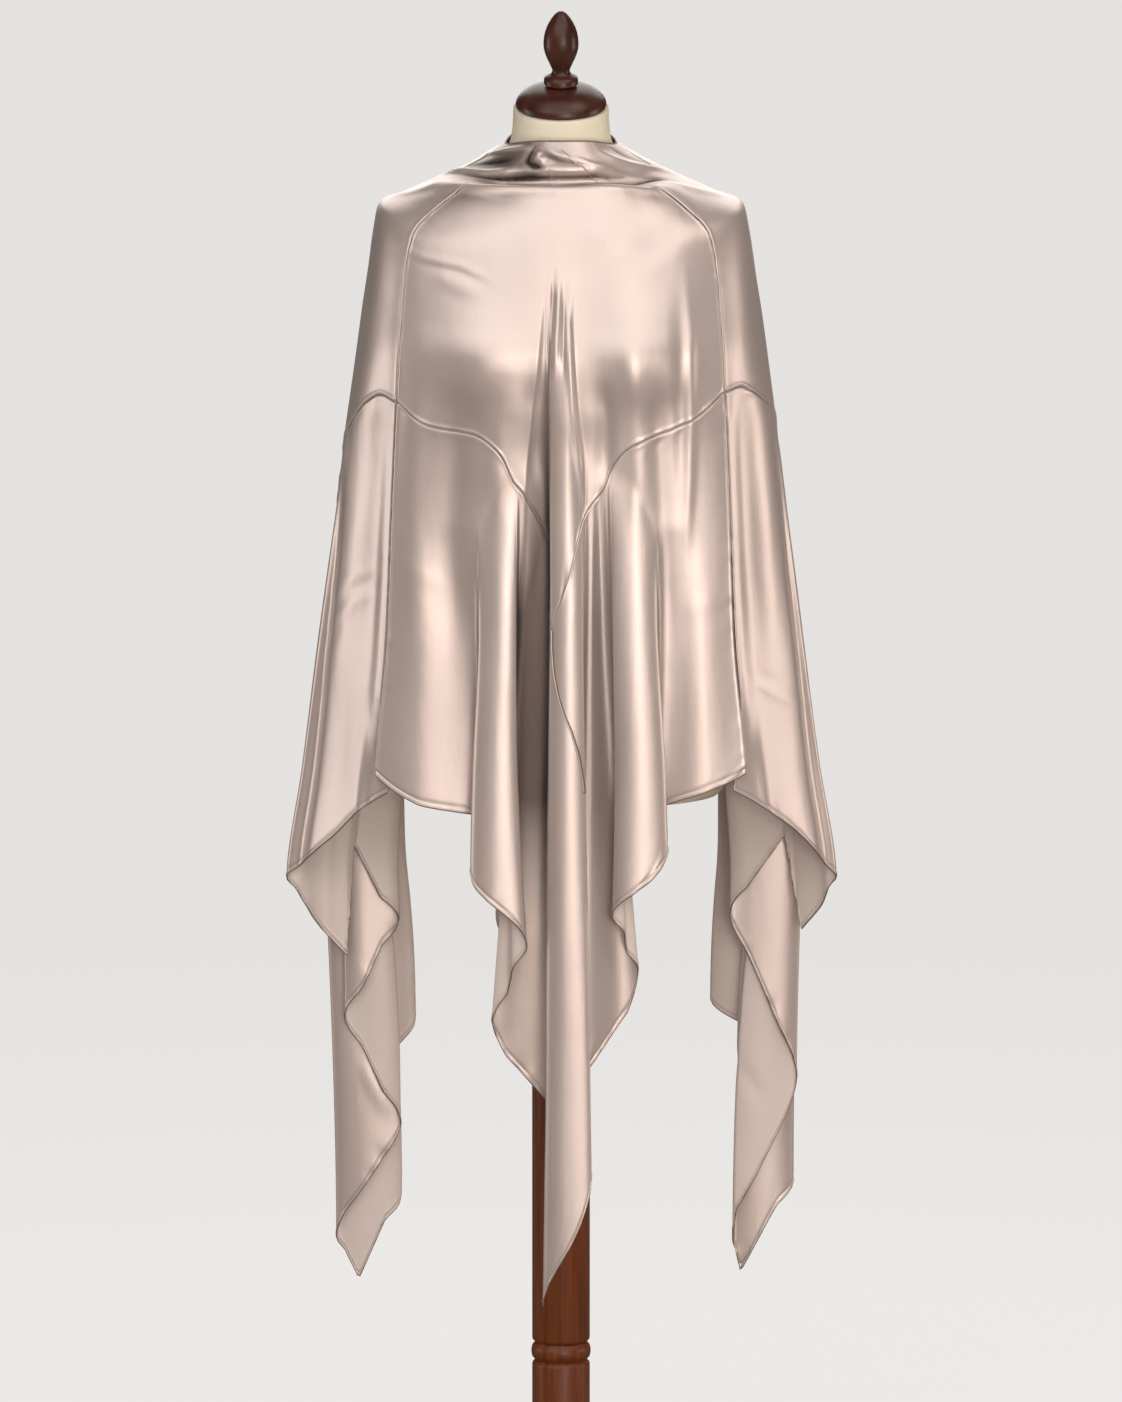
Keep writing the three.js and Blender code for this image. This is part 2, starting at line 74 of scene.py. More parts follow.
# %% Lamps
LAMPS = [
    # name, place, aim, width, height, watts, colour
    ("key", (-0.5, -4.4, 3.9), (0.0, 0.0, 1.2), 9.2, 2.8, 178.0, (1.0, 0.985, 0.985)),
    ("overhead", (0.0, -1.4, 4.6), (0.0, -0.1, 1.3), 5.0, 2.2, 45.0, (1.0, 0.985, 0.985)),
    ("upper_right", (2.2, -1.6, 4.2), (0.0, 0.0, 1.3), 2.4, 2.4, 31.0, (1.0, 0.92, 0.86)),
    ("front_card", (-0.4, -5.8, 1.9), (0.0, 0.0, 1.2), 4.5, 1.2, 28.0, (1.0, 0.97, 0.95)),
    ("front_fill", (1.6, -5.6, 0.9), (0.0, 0.0, 0.8), 1.4, 2.4, 66.0, (1.0, 0.90, 0.82)),
    ("low_card", (1.4, -5.0, 0.35), (0.0, 0.0, 0.6), 4.0, 0.9, 50.0, (1.0, 0.97, 0.95)),
    ("right_side", (3.6, 0.2, 0.8), (0.0, 0.0, 0.85), 1.4, 1.3, 22.0, (1.0, 0.93, 0.88)),
    ("left_side", (-3.6, 0.2, 0.8), (0.0, 0.0, 0.85), 1.4, 1.3, 21.0, (1.0, 0.97, 0.95)),
    ("back_light", (0.4, 5.5, 4.4), (0.0, 0.0, 1.2), 7.0, 3.6, 150.0, (1.0, 0.98, 0.96)),
    ("back_card", (-0.4, 14.0, 2.8), (0.0, 0.0, 1.0), 8.0, 4.4, 260.0, (1.0, 0.97, 0.95)),
]
for name, place, aim, width, height, watts, colour in LAMPS:
    turn = (Vector(aim) - Vector(place)).to_track_quat("-Z", "Y").to_euler()
    bpy.ops.object.light_add(type="AREA", location=place, rotation=turn)
    lamp = bpy.context.object
    lamp.name = name
    lamp.data.shape = "RECTANGLE"
    lamp.data.size = width
    lamp.data.size_y = height
    lamp.data.energy = watts
    lamp.data.color = colour
print("lamps:", len(LAMPS))


# %% Helpers for nodes
def set_inputs(node, values):
    for name, value in values.items():
        node.inputs[name].default_value = value


def add_node(tree, kind, values=None, **settings):
    """A new shader node with its settings and its input values."""
    node = tree.nodes.new("ShaderNode" + kind)
    for name, value in settings.items():
        setattr(node, name, value)
    set_inputs(node, values or {})
    return node


def wire(tree, *joins):
    """Join nodes: each join is a node, its output, the next node and its input."""
    for source, output, target, into in joins:
        tree.links.new(source.outputs[output], target.inputs[into])


def bare_tree(owner):
    owner.use_nodes = True
    owner.node_tree.nodes.clear()
    return owner.node_tree


print("node helpers ready")

# %% Room and floor
SEEN_ROOM = (0.80, 0.785, 0.77, 1.0)
DIM_ROOM, DIM_LIGHT = (1.0, 0.88, 0.80, 1.0), 0.06
FLOOR_SIZE, FLOOR_BELOW = 90.0, 0.001
FLOOR_GLOW, FLOOR_BOUNCE = (0.78, 0.762, 0.745, 1.0), (0.24, 0.215, 0.20, 1.0)
LIT_ROUND_FOOT = {"From Min": 1.2, "From Max": 3.2, "To Min": 0.08, "To Max": 0.0}

room = bpy.data.worlds.new("room")
scene.world = room
tree = bare_tree(room)
seen = add_node(tree, "Background", {"Color": SEEN_ROOM})
around = add_node(tree, "Background", {"Color": DIM_ROOM, "Strength": DIM_LIGHT})
rays, either = add_node(tree, "LightPath"), add_node(tree, "MixShader")
wire(
    tree,
    (rays, "Is Camera Ray", either, "Fac"),
    (around, "Background", either, 1),
    (seen, "Background", either, 2),
    (either, "Shader", add_node(tree, "OutputWorld"), "Surface"),
)

bpy.ops.mesh.primitive_plane_add(size=FLOOR_SIZE, location=(0.0, 0.0, -FLOOR_BELOW))
floor = bpy.context.object
floor.name = "floor"
paint = bpy.data.materials.new("pale_floor")
tree = bare_tree(paint)
bounce = add_node(tree, "BsdfDiffuse", {"Color": FLOOR_BOUNCE})
pale, glow = add_node(tree, "BsdfDiffuse"), add_node(tree, "Emission", {"Color": FLOOR_GLOW})
place, distance = add_node(tree, "TexCoord"), add_node(tree, "VectorMath", operation="LENGTH")
nearby = add_node(tree, "MapRange", LIT_ROUND_FOOT)
rays, both, either = (add_node(tree, kind) for kind in ("LightPath", "AddShader", "MixShader"))
wire(
    tree,
    (place, "Object", distance, 0),
    (distance, "Value", nearby, "Value"),
    (nearby, "Result", pale, "Color"),
    (pale, "BSDF", both, 0),
    (glow, "Emission", both, 1),
    (rays, "Is Camera Ray", either, "Fac"),
    (bounce, "BSDF", either, 1),
    (both, "Shader", either, 2),
    (either, "Shader", add_node(tree, "OutputMaterial"), "Surface"),
)
floor.data.materials.append(paint)
scene.view_settings.view_transform = "Standard"
print("floor", FLOOR_SIZE, "m wide")

# %% [markdown]
# ## The drape
#
# Cut on the round and hung from the neck, the cloth first falls as a smooth bell. A simulation could
# drop it on the form, but it would not fall on the drawn part's own folds, so the bell is a table of
# rings, numbered from the neck down. A ring has its half width, its reach to the front and back, its
# height at front, side and back, how square it is, and where the arm seam crosses it.

# %% Rings of the plain drape
YOKE_RINGS = [
    # half, front, back, z front, z side, z back, squareness, seam
    (60, 62, 61, 1533, 1522, 1536, 2.0, 8),
    (79, 77, 72, 1510, 1508, 1519, 2.0, 32),
    (106, 83, 84, 1483, 1495, 1502, 2.0, 58),
    (137, 105, 96, 1487, 1481, 1484, 2.1, 100),
    (171, 118, 106, 1456, 1466, 1458, 2.3, 137),
    (196, 126, 113, 1422, 1455, 1425, 2.6, 160),
    (204, 134, 118, 1383, 1422, 1386, 2.7, 168),
    (212, 141, 121, 1345, 1364, 1347, 2.7, 172),
]
HANG_RINGS = [
    # z, half, front, back, squareness, seam
    (1307, 219.6, 147, 122, 2.7, 175),
    (1255, 226.6, 144, 121, 2.7, 177.5),
    (1205, 233.5, 138, 121, 2.7, 180),
    (1130, 243.5, 134, 121, 2.7, 183),
    (1000, 261, 133, 122, 2.7, 188),
    (840, 283, 130, 124, 2.7, 202),
    (700, 302, 128, 124, 2.7, 206),
    (250, 302, 126, 122, 2.7, 206),
]
BUST_Z = 1307
LEVEL_STEP = 50.0
SEAM_GAP = 0.5
NECK_TURN = [-16, -9, -3, 0]
SWELL, SWELL_X, SWELL_WIDE, SWELL_TALL = 8, 88, 46, 55


def curve_through(knots, values, corners=()):
    """A smooth curve through points that never overshoots them, with a kink at each corner."""
    knots, values = np.asarray(knots, float), np.asarray(values, float)
    slope = np.diff(values) / np.diff(knots)
    leave, arrive = np.append(slope, slope[-1]), np.append(slope[0], slope)
    for i in range(1, len(knots) - 1):
        if i not in corners:
            a, b = slope[i - 1], slope[i]
            leave[i] = arrive[i] = 2 * a * b / (a + b) if a * b > 0 else 0.0

    def at(t):
        t = np.clip(t, knots[0], knots[-1])
        i = np.clip(np.searchsorted(knots, t, side="right") - 1, 0, len(knots) - 2)
        span = knots[i + 1] - knots[i]
        u = (t - knots[i]) / span
        v = 1 - u
        bend = span * u * v * (leave[i] * v - arrive[i + 1] * u)
        return values[i] * (1 + 2 * u) * v * v + values[i + 1] * (3 - 2 * u) * u * u + bend

    return at


def hang_level(z):
    return len(YOKE_RINGS) + (BUST_Z - z) / LEVEL_STEP


rings = [(i, *row) for i, row in enumerate(YOKE_RINGS)]
rings += [
    (hang_level(z), half, front, back, z, z, z, power, seam)
    for z, half, front, back, power, seam in HANG_RINGS
]
columns = list(zip(*rings))
half_at, front_at, back_at, z_front_at, z_side_at, z_back_at, power_at, seam_at = (
    curve_through(columns[0], column) for column in columns[1:]
)
print("rings:", len(rings))


# %% Points of the plain drape
def drape(angle, level, side=1):
    """Points of the plain drape by angle from the centre front; side is -1 for mirrored panels."""
    angle = angle + side * np.radians(np.interp(level, range(len(NECK_TURN)), NECK_TURN))
    sin, cos = np.sin(angle), np.cos(angle)
    square = 2 / power_at(level)
    ahead = cos > 0
    low = np.where(ahead, z_front_at(level), z_back_at(level))
    z = low + (z_side_at(level) - low) * np.abs(sin) ** 3
    x = half_at(level) * np.sign(sin) * np.abs(sin) ** square
    depth = np.where(ahead, front_at(level), back_at(level)) * np.abs(cos) ** square
    off_x, off_z = (np.abs(x) - SWELL_X) / SWELL_WIDE, (z - BUST_Z) / SWELL_TALL
    swell = SWELL * np.exp(-(off_x**2) - off_z**2)
    return x, np.where(ahead, -depth - swell, depth), z


def angle_of(x, level):
    share = np.minimum(1.0, np.abs(x) / half_at(level))
    return np.sign(x) * np.arcsin(share ** (power_at(level) / 2))


print("drape at the bust, side:", [round(float(c)) for c in drape(math.pi / 2, hang_level(BUST_Z))])

# %% [markdown]
# ## The folds
#
# Spare width at the hem falls into pleats that open downwards. For each panel a table follows the
# hem from seam to seam: where the cloth lies at the hem, how far out, from what height its fold
# opens, and the heights of the zigzag seam and of the hem. At a turn the cloth rounds a fold edge.
# On the sides every fold opens just below the zigzag seam, so their tables leave that height out.

# %% Fold tables of the front and back
FRONT_FOLDS = [
    # edge, share, x, out, start, seam, hem
    ("seam", -1, -203, 0, 1120, 1256, 846),
    ("flat", -0.8, -154, 0, 1120, 1232, 815),
    ("turn", -0.52, -80, -8, 1120, 1223, 796),
    ("turn", -0.47, -98, 9, 1120, 1219, 744),
    ("crown", -0.36, -67, 22, 1160, 1202, 704),
    ("turn", -0.28, -37, 12, 1165, 1172, 662),
    ("turn", -0.225, -74, -14, 1165, 1160, 574),
    ("turn", -0.1, 26, -18, 1376, 1102, 409),
    ("turn", -0.05, -20, 18, 1376, 1009, 262),
    ("crown", 0.03, 5, 30, 1376, 1062, 324),
    ("turn", 0.115, 33, 22, 1240, 1124, 409),
    ("turn", 0.16, 6, 9, 1200, 1142, 459),
    ("turn", 0.255, 83, -9, 1170, 1166, 633),
    ("turn", 0.31, 56, 10, 1175, 1190, 695),
    ("crown", 0.42, 84, 21, 1170, 1211, 726),
    ("turn", 0.55, 116, 9, 1120, 1221, 767),
    ("turn", 0.6, 98, -8, 1120, 1224, 803),
    ("flat", 0.82, 157, 0, 1120, 1241, 829),
    ("seam", 1, 203, 0, 1120, 1267, 848),
]
BACK_FOLDS = [
    ("seam", -1, -202, 0, 1130, 1254, 837),
    ("flat", -0.75, -146, 0, 1130, 1238, 822),
    ("turn", -0.46, -62, -8, 1130, 1214, 792),
    ("turn", -0.41, -84, 9, 1130, 1210, 746),
    ("crown", -0.31, -58, 24, 1150, 1190, 706),
    ("turn", -0.235, -30, 13, 1150, 1160, 650),
    ("turn", -0.18, -62, -11, 1150, 1140, 575),
    ("turn", -0.08, 24, -16, 1300, 1085, 470),
    ("turn", -0.035, -18, 16, 1300, 1040, 400),
    ("crown", 0.05, 6, 30, 1300, 1070, 440),
    ("turn", 0.135, 32, 22, 1300, 1118, 505),
    ("turn", 0.18, 4, 6, 1300, 1138, 540),
    ("turn", 0.27, 72, -8, 1150, 1160, 650),
    ("turn", 0.33, 46, 9, 1150, 1188, 706),
    ("crown", 0.42, 72, 22, 1150, 1206, 740),
    ("turn", 0.53, 98, 9, 1130, 1216, 780),
    ("turn", 0.58, 80, -8, 1130, 1220, 806),
    ("flat", 0.8, 152, 0, 1130, 1240, 826),
    ("seam", 1, 202, 0, 1130, 1254, 837),
]
print("fold rows:", len(FRONT_FOLDS), len(BACK_FOLDS))

# %% Fold tables of the sides
SIDE_FOLD_DROP = 15
LEFT_FOLDS = [
    # edge, share, x, y, seam, hem
    ("seam", 0, 202, -106, 1256, 826),
    ("flat", 0.1, 223, -86, 1262, 800),
    ("flat", 0.2, 246, -64, 1253, 772),
    ("flat", 0.32, 274, -36, 1231, 743),
    ("turn", 0.43, 300, -5, 1205, 714),
    ("flat", 0.475, 266, 10, 1186, 659),
    ("flat", 0.51, 234, 20, 1172, 622),
    ("flat", 0.53, 226, 28, 1162, 745),
    ("turn", 0.555, 178, 36, 1145, 658),
    ("turn", 0.58, 236, 43, 1128, 550),
    ("turn", 0.605, 176, 50, 1110, 430),
    ("turn", 0.63, 247, 57, 1090, 302),
    ("flat", 0.64, 222, 61, 1082, 253),
    ("turn", 0.655, 175, 65, 1090, 345),
    ("turn", 0.685, 238, 73, 1108, 439),
    ("turn", 0.71, 160, 80, 1124, 540),
    ("turn", 0.8, 278, 86, 1175, 690),
    ("flat", 0.9, 243, 96, 1222, 770),
    ("seam", 1, 202, 103, 1254, 837),
]
RIGHT_FOLDS = [
    ("seam", 0, 202, -106, 1267, 828),
    ("flat", 0.1, 226, -86, 1271, 802),
    ("flat", 0.2, 252, -64, 1262, 779),
    ("flat", 0.32, 278, -36, 1248, 747),
    ("turn", 0.43, 300, -5, 1236, 714),
    ("flat", 0.475, 283, 8, 1215, 678),
    ("flat", 0.51, 262, 18, 1194, 650),
    ("flat", 0.53, 244, 27, 1176, 755),
    ("turn", 0.56, 185, 36, 1156, 666),
    ("turn", 0.59, 258, 44, 1130, 482),
    ("turn", 0.62, 189, 52, 1098, 300),
    ("flat", 0.633, 197, 56, 1085, 262),
    ("turn", 0.65, 255, 60, 1094, 362),
    ("turn", 0.68, 193, 68, 1114, 432),
    ("turn", 0.71, 250, 76, 1133, 500),
    ("turn", 0.735, 165, 83, 1148, 560),
    ("turn", 0.8, 276, 90, 1184, 690),
    ("flat", 0.9, 243, 98, 1226, 770),
    ("seam", 1, 202, 103, 1254, 837),
]
print("fold rows:", len(LEFT_FOLDS), len(RIGHT_FOLDS))

# %% [markdown]
# A pleat in soft satin never has a sharp edge, so the cloth rounds each turn in a half circle as
# wide as a pencil. Between turns it runs in easy curves. The pleats grow quickly at first and then
# hang straight, as cloth does once it is free of the body.

# %% Curves along a fold table
EDGE, SHARE, ACROSS, OUT, START, SEAM, HEM = range(7)
TURN_RADIUS = 4.0
TURN_REACH, TURN_SHARE = 18.0, 0.4
TURN_SPAN = 0.28
HEM_STEP = 100
OVAL = 0.55
SOFT_START = 0.0001


def bow_between(a, a_pull, b_pull, b, u):
    """A curve from a to b that leaves and arrives towards its two pull points."""
    return a * (1 - u) ** 3 + 3 * a_pull * u * (1 - u) ** 2 + 3 * b_pull * u * u * (1 - u) + b * u**3


class Folds:
    """What a panel's folds need, as curves along its table."""

    def __init__(self, table):
        self.rows = table
        self.last = len(table) - 1
        places = range(len(table))
        tip = min(places, key=lambda i: table[i][HEM])
        peak = min(places, key=lambda i: table[i][SEAM])
        steps = [i for i in places if i and table[i][HEM] - table[i - 1][HEM] > HEM_STEP]
        kinks = {tip, *steps, *(i - 1 for i in steps)}
        self.share = curve_through(places, [row[SHARE] for row in table])
        self.start = curve_through(places, [row[START] for row in table])
        self.seam = curve_through(places, [row[SEAM] for row in table], {peak})
        self.hem = curve_through(places, [row[HEM] for row in table], kinks)
        self.pull = curve_through(places, [0.0 if row[EDGE] == "seam" else 1.0 for row in table])

    def point(self, i):
        return np.array(self.rows[i][ACROSS:START], float)

    def is_turn(self, i):
        return self.rows[i][EDGE] == "turn"

    def reach(self, i):
        return np.sign(self.rows[i][ACROSS] - self.rows[i - 1][ACROSS]) or 1

    def turn_point(self, i, share):
        angle = share * math.pi / 2
        before, here, after = self.rows[i - 1 : i + 2]
        rise = np.sign(after[OUT] - before[OUT]) or 1
        space = min(abs(here[ACROSS] - before[ACROSS]), abs(after[ACROSS] - here[ACROSS]))
        across = self.reach(i) * min(TURN_REACH, TURN_SHARE * space) * (1 - math.cos(angle))
        return self.point(i) + np.array([-across, rise * TURN_RADIUS * math.sin(angle)])

    def end(self, i, share):
        return self.turn_point(i, share) if self.is_turn(i) else self.point(i)

    def heading(self, i, side):
        if self.is_turn(i):
            return np.array([self.reach(i) * side, 0.0])
        ahead = self.end(i + 1, -1) if i < self.last else self.point(i)
        step = ahead - (self.end(i - 1, 1) if i else self.point(i))
        return step / np.linalg.norm(step)

    def place(self, p):
        i = min(int(p), self.last - 1)
        if "crown" in (self.rows[i][EDGE], self.rows[i + 1][EDGE]):
            return self.arch(i, p - i)
        near = round(p)
        if self.is_turn(near) and abs(p - near) < TURN_SPAN:
            return self.turn_point(near, (p - near) / TURN_SPAN)
        begin = TURN_SPAN if self.is_turn(i) else 0.0
        finish = 1 - TURN_SPAN if self.is_turn(i + 1) else 1.0
        a, b = self.end(i, 1), self.end(i + 1, -1)
        pull = np.linalg.norm(b - a) / 3
        a_pull, b_pull = a + self.heading(i, -1) * pull, b - self.heading(i + 1, 1) * pull
        return bow_between(a, a_pull, b_pull, b, (p - i - begin) / (finish - begin))

    def arch(self, i, u):
        """A quarter of an oval between a fold edge and the crown of a pleat."""
        a, b = self.point(i), self.point(i + 1)
        corner = np.array([b[0], a[1]]) if self.rows[i][EDGE] == "crown" else np.array([a[0], b[1]])
        return bow_between(a, a + OVAL * (corner - a), b + OVAL * (corner - b), b, u)

    def path(self, ps):
        return np.array([self.place(p) for p in ps]).T

    def grown(self, p, z):
        """How far a fold has opened at a height: nothing above its start, all of it at the hem."""
        start = self.start(p)
        run = (start - z) / np.maximum(1.0, start - self.hem(p))
        soft = 0.5 * (run + np.sqrt(run * run + SOFT_START))
        return np.clip(self.pull(p) * np.clip(soft, 0.0, 1.0), 0.0, 1.0)


def side_folds(table):
    return Folds([(*row[:START], row[START] - SIDE_FOLD_DROP, *row[START:]) for row in table])


front, back = Folds(FRONT_FOLDS), Folds(BACK_FOLDS)
left, right = side_folds(LEFT_FOLDS), side_folds(RIGHT_FOLDS)
print("longest points reach down to", [min(row[HEM] for row in f.rows) for f in (front, back, left, right)])

# %% Points of a folded panel
SLIDE_POWER, SIDE_POWER = 1.6, 2.2
OPEN_POWER, OPEN_EASE = 0.6, 0.04
LAP_END, LAP_RINGS, LAP_TURN, LAP_TUCK = 0.5, (2.2, 3.2), 0.025, 0.016
BOW, BOW_X, BOW_HALF, BOW_FROM = 8, 212, 44, 30
UNDER_END, UNDER_Z, UNDER_POWER = 0.9, (830, 940), 1.5
UNDER_IN, UNDER_BACK, BACK_FIRST = 16, 4.5, 2.5


def fade(value, start, end):
    """1 up to the start, 0 from the end on, and an even slope between them."""
    return np.clip((end - value) / (end - start), 0, 1)


def opened(growth):
    """How far a pleat stands out: quickly at first, then slower."""
    low, high = OPEN_EASE**OPEN_POWER, (1 + OPEN_EASE) ** OPEN_POWER
    return ((growth + OPEN_EASE) ** OPEN_POWER - low) / (high - low)


def face_points(folds, p, level, behind):
    """Points of the front or back panels, folds and all."""
    share = folds.share(p)
    flat_x = share * (seam_at(level) - SEAM_GAP / 2)
    flat_z = drape(angle_of(flat_x, level), level)[2]
    growth = folds.grown(p, flat_z)
    hem_x, hem_out = folds.path(p)
    slide = hem_x - share * (seam_at(hang_level(folds.hem(p))) - SEAM_GAP / 2)
    angle = angle_of(flat_x + growth**SLIDE_POWER * slide, level)
    out = opened(growth) * hem_out
    if not behind:
        x, y, z = drape(angle, level)
        return np.stack([x, y - out, z], axis=-1)
    x, y, z = drape(math.pi - angle, level, -1)
    return np.stack([-x, y + out, z], axis=-1)


def side_drape(share, level, side):
    seam_angle = angle_of(seam_at(level) + SEAM_GAP / 2, level)
    return drape(seam_angle + share * (math.pi - 2 * seam_angle), level, side)


def side_points(folds, p, level, side):
    """Points of a side panel; side is 1 on the right and -1 on the left."""
    share = folds.share(p)
    lap = fade(p, 0, LAP_END) * fade(level, *LAP_RINGS)
    x, y, z = side_drape(share - LAP_TURN * lap, level, side)
    x, y = x * (1 - LAP_TUCK * lap), y * (1 - LAP_TUCK * lap)
    low_x, low_y, _ = side_drape(share, hang_level(folds.hem(p)), side)
    growth = 1 - (1 - folds.grown(p, z)) ** SIDE_POWER
    hem_x, hem_y = folds.path(p)
    bow = BOW * fade(-hem_y, 0, BOW_FROM) * np.maximum(0, 1 - ((hem_x - BOW_X) / BOW_HALF) ** 2)
    under = fade(p, 0, UNDER_END) * fade(z, *UNDER_Z) ** UNDER_POWER
    points = [
        side * (x + growth * (hem_x - low_x) - UNDER_IN * under),
        y + growth * (hem_y - bow - low_y) + UNDER_BACK * np.minimum(1, BACK_FIRST * under),
        z,
    ]
    return np.stack(points, axis=-1)


def points_of(maker, folds, which):
    """A panel's point maker with its folds and its side filled in."""
    return lambda p, level: maker(folds, p, level, which)


print("a pleat half grown stands out", round(float(opened(0.5)), 2), "of its depth")

# %% [markdown]
# ## Creases placed one by one
#
# A worn stole is not a smooth bell. The cowl lies in soft rolls that gather into a pinch left of the
# centre, and drag lines run from the shoulders and elbows. Noise would give creases everywhere alike,
# so each is listed. A row is one trough (minus) or ridge (plus) with its height, its width to
# either side in millimetres and the points it passes, as seen from its side. The back and the sides
# nobody sees get their own, of the same kind.

# %% Crease table
CREASES = [
    # seen from, height, width above, width below, points (across, up)
    ("front", 0.7, 3.5, 7, [(-174, 1436), (-166, 1420), (-150, 1414), (-108, 1407), (-70, 1391)]),
    ("front", -0.6, 3, 4, [(-168, 1414), (-150, 1407), (-108, 1400), (-74, 1385)]),
    ("front", 0.8, 9, 9, [(-139, 1396), (-83, 1375)]),
    ("front", 0.5, 12, 12, [(34, 1373), (104, 1406), (157, 1441)]),
    ("front", 0.4, 12, 12, [(10, 1410), (83, 1449), (152, 1469)]),
    ("front", -0.4, 12, 12, [(22, 1390), (95, 1427), (155, 1455)]),
    ("front", 1.8, 5, 5, [(134, 1404), (140, 1332), (140, 1232), (139, 1170), (134, 1072)]),
    ("front", -1.4, 7, 7, [(125, 1380), (128, 1330), (129, 1232), (127, 1150)]),
    ("front", 2.4, 14, 14, [(-150, 1330), (-158, 1240), (-160, 1120), (-158, 960)]),
    ("front", -3.2, 18, 18, [(-104, 1290), (-112, 1220), (-118, 1100), (-112, 960)]),
    ("front", 3.0, 16, 16, [(-56, 1290), (-66, 1240), (-70, 1140)]),
    ("front", -3.0, 12, 12, [(-30, 1300), (-30, 1240), (-32, 1160)]),
    ("front", -2.2, 2.6, 2.6, [(-8, 1400), (-8.5, 1378), (-10.5, 1345), (-14, 1290)]),
    ("front", 2.0, 2.8, 2.8, [(-2, 1400), (-2, 1380), (-4, 1340), (-7, 1290)]),
    ("front", -1.5, 2.2, 2.2, [(4, 1378), (3, 1335), (2, 1290)]),
    ("front", 2.5, 3.4, 3.4, [(11, 1390), (9, 1340), (10, 1300), (13, 1250), (18, 1200), (24, 1150)]),
    ("front", -3.4, 12, 12, [(44, 1296), (48, 1240), (48, 1160)]),
    ("front", 2.8, 13, 13, [(70, 1352), (79, 1280), (84, 1220), (84, 1110)]),
    ("front", -2.6, 12, 12, [(104, 1296), (107, 1230), (110, 1120), (112, 960)]),
    ("front", -2.4, 24, 24, [(-150, 1270), (-90, 1246), (-40, 1262)]),
    ("front", -2.4, 24, 24, [(150, 1266), (90, 1244), (50, 1262)]),
    ("front", 0.35, 9, 9, [(-187, 1088), (-119, 1051)]),
    ("front", 0.6, 6, 7, [(-252, 1024), (-224, 1056), (-189, 1078)]),
    ("front", -0.35, 5, 5, [(-250, 1008), (-222, 1042), (-190, 1064)]),
    ("front", 0.6, 5, 6, [(-252, 992), (-220, 1030), (-190, 1056)]),
    ("front", -0.35, 5, 5, [(-256, 972), (-232, 1004)]),
    ("front", 0.35, 9, 9, [(174, 1044), (128, 1023)]),
    ("front", -0.4, 5, 5, [(192, 966), (240, 934), (276, 914)]),
    ("front", 0.7, 5, 5, [(194, 956), (240, 922), (280, 898)]),
    ("front", 1.0, 5, 5, [(192, 1262), (214, 1262)]),
    ("front", -2.2, 13, 13, [(-196, 1330), (-196, 1200), (-204, 1080), (-212, 960)]),
    ("front", 3.0, 20, 20, [(-206, 1200), (-226, 1040), (-250, 880)]),
    ("front", -2.4, 13, 13, [(197, 1330), (200, 1200), (210, 1060), (220, 940)]),
    ("front", 3.0, 20, 20, [(208, 1210), (232, 1040), (256, 860)]),
    ("tail", 1.4, 6, 6, [(-222, 498), (-186, 436)]),
    ("tail", 1.4, 6, 6, [(177, 519), (229, 445)]),
    ("tail", 1.4, 6, 6, [(179, 608), (200, 636)]),
    ("back", 3.2, 8, 8, [(-110, 1500), (-40, 1508), (30, 1506), (104, 1498)]),
    ("back", -3.8, 6, 6, [(-84, 1492), (-10, 1497), (70, 1492)]),
    ("back", 2.4, 6, 12, [(-140, 1478), (-50, 1480), (40, 1478), (130, 1474)]),
    ("back", 1.8, 12, 12, [(-40, 1380), (-104, 1410), (-158, 1446)]),
    ("back", 1.6, 12, 12, [(24, 1400), (90, 1428), (152, 1460)]),
    ("back", 2.6, 8, 8, [(-132, 1400), (-138, 1320), (-138, 1200), (-130, 1080)]),
    ("back", -2.2, 9, 9, [(-114, 1372), (-118, 1240), (-116, 1150)]),
    ("back", 2.2, 14, 14, [(112, 1340), (124, 1230), (124, 1120), (112, 990)]),
    ("back", 1.6, 9, 9, [(186, 1070), (122, 1040)]),
    ("left", 2.2, 14, 14, [(-30, 1440), (-20, 1340), (-26, 1220), (-44, 1100)]),
    ("left", -2.2, 14, 14, [(14, 1430), (16, 1330), (10, 1230), (0, 1120)]),
    ("left", 1.8, 12, 12, [(50, 1420), (54, 1320), (48, 1210)]),
    ("right", 2.0, 14, 14, [(-34, 1436), (-22, 1330), (-18, 1230), (-30, 1090)]),
    ("right", -2.2, 14, 14, [(10, 1434), (20, 1330), (22, 1240), (12, 1140)]),
    ("right", 1.8, 12, 12, [(56, 1420), (50, 1300), (46, 1200)]),
]
print("creases:", len(CREASES))

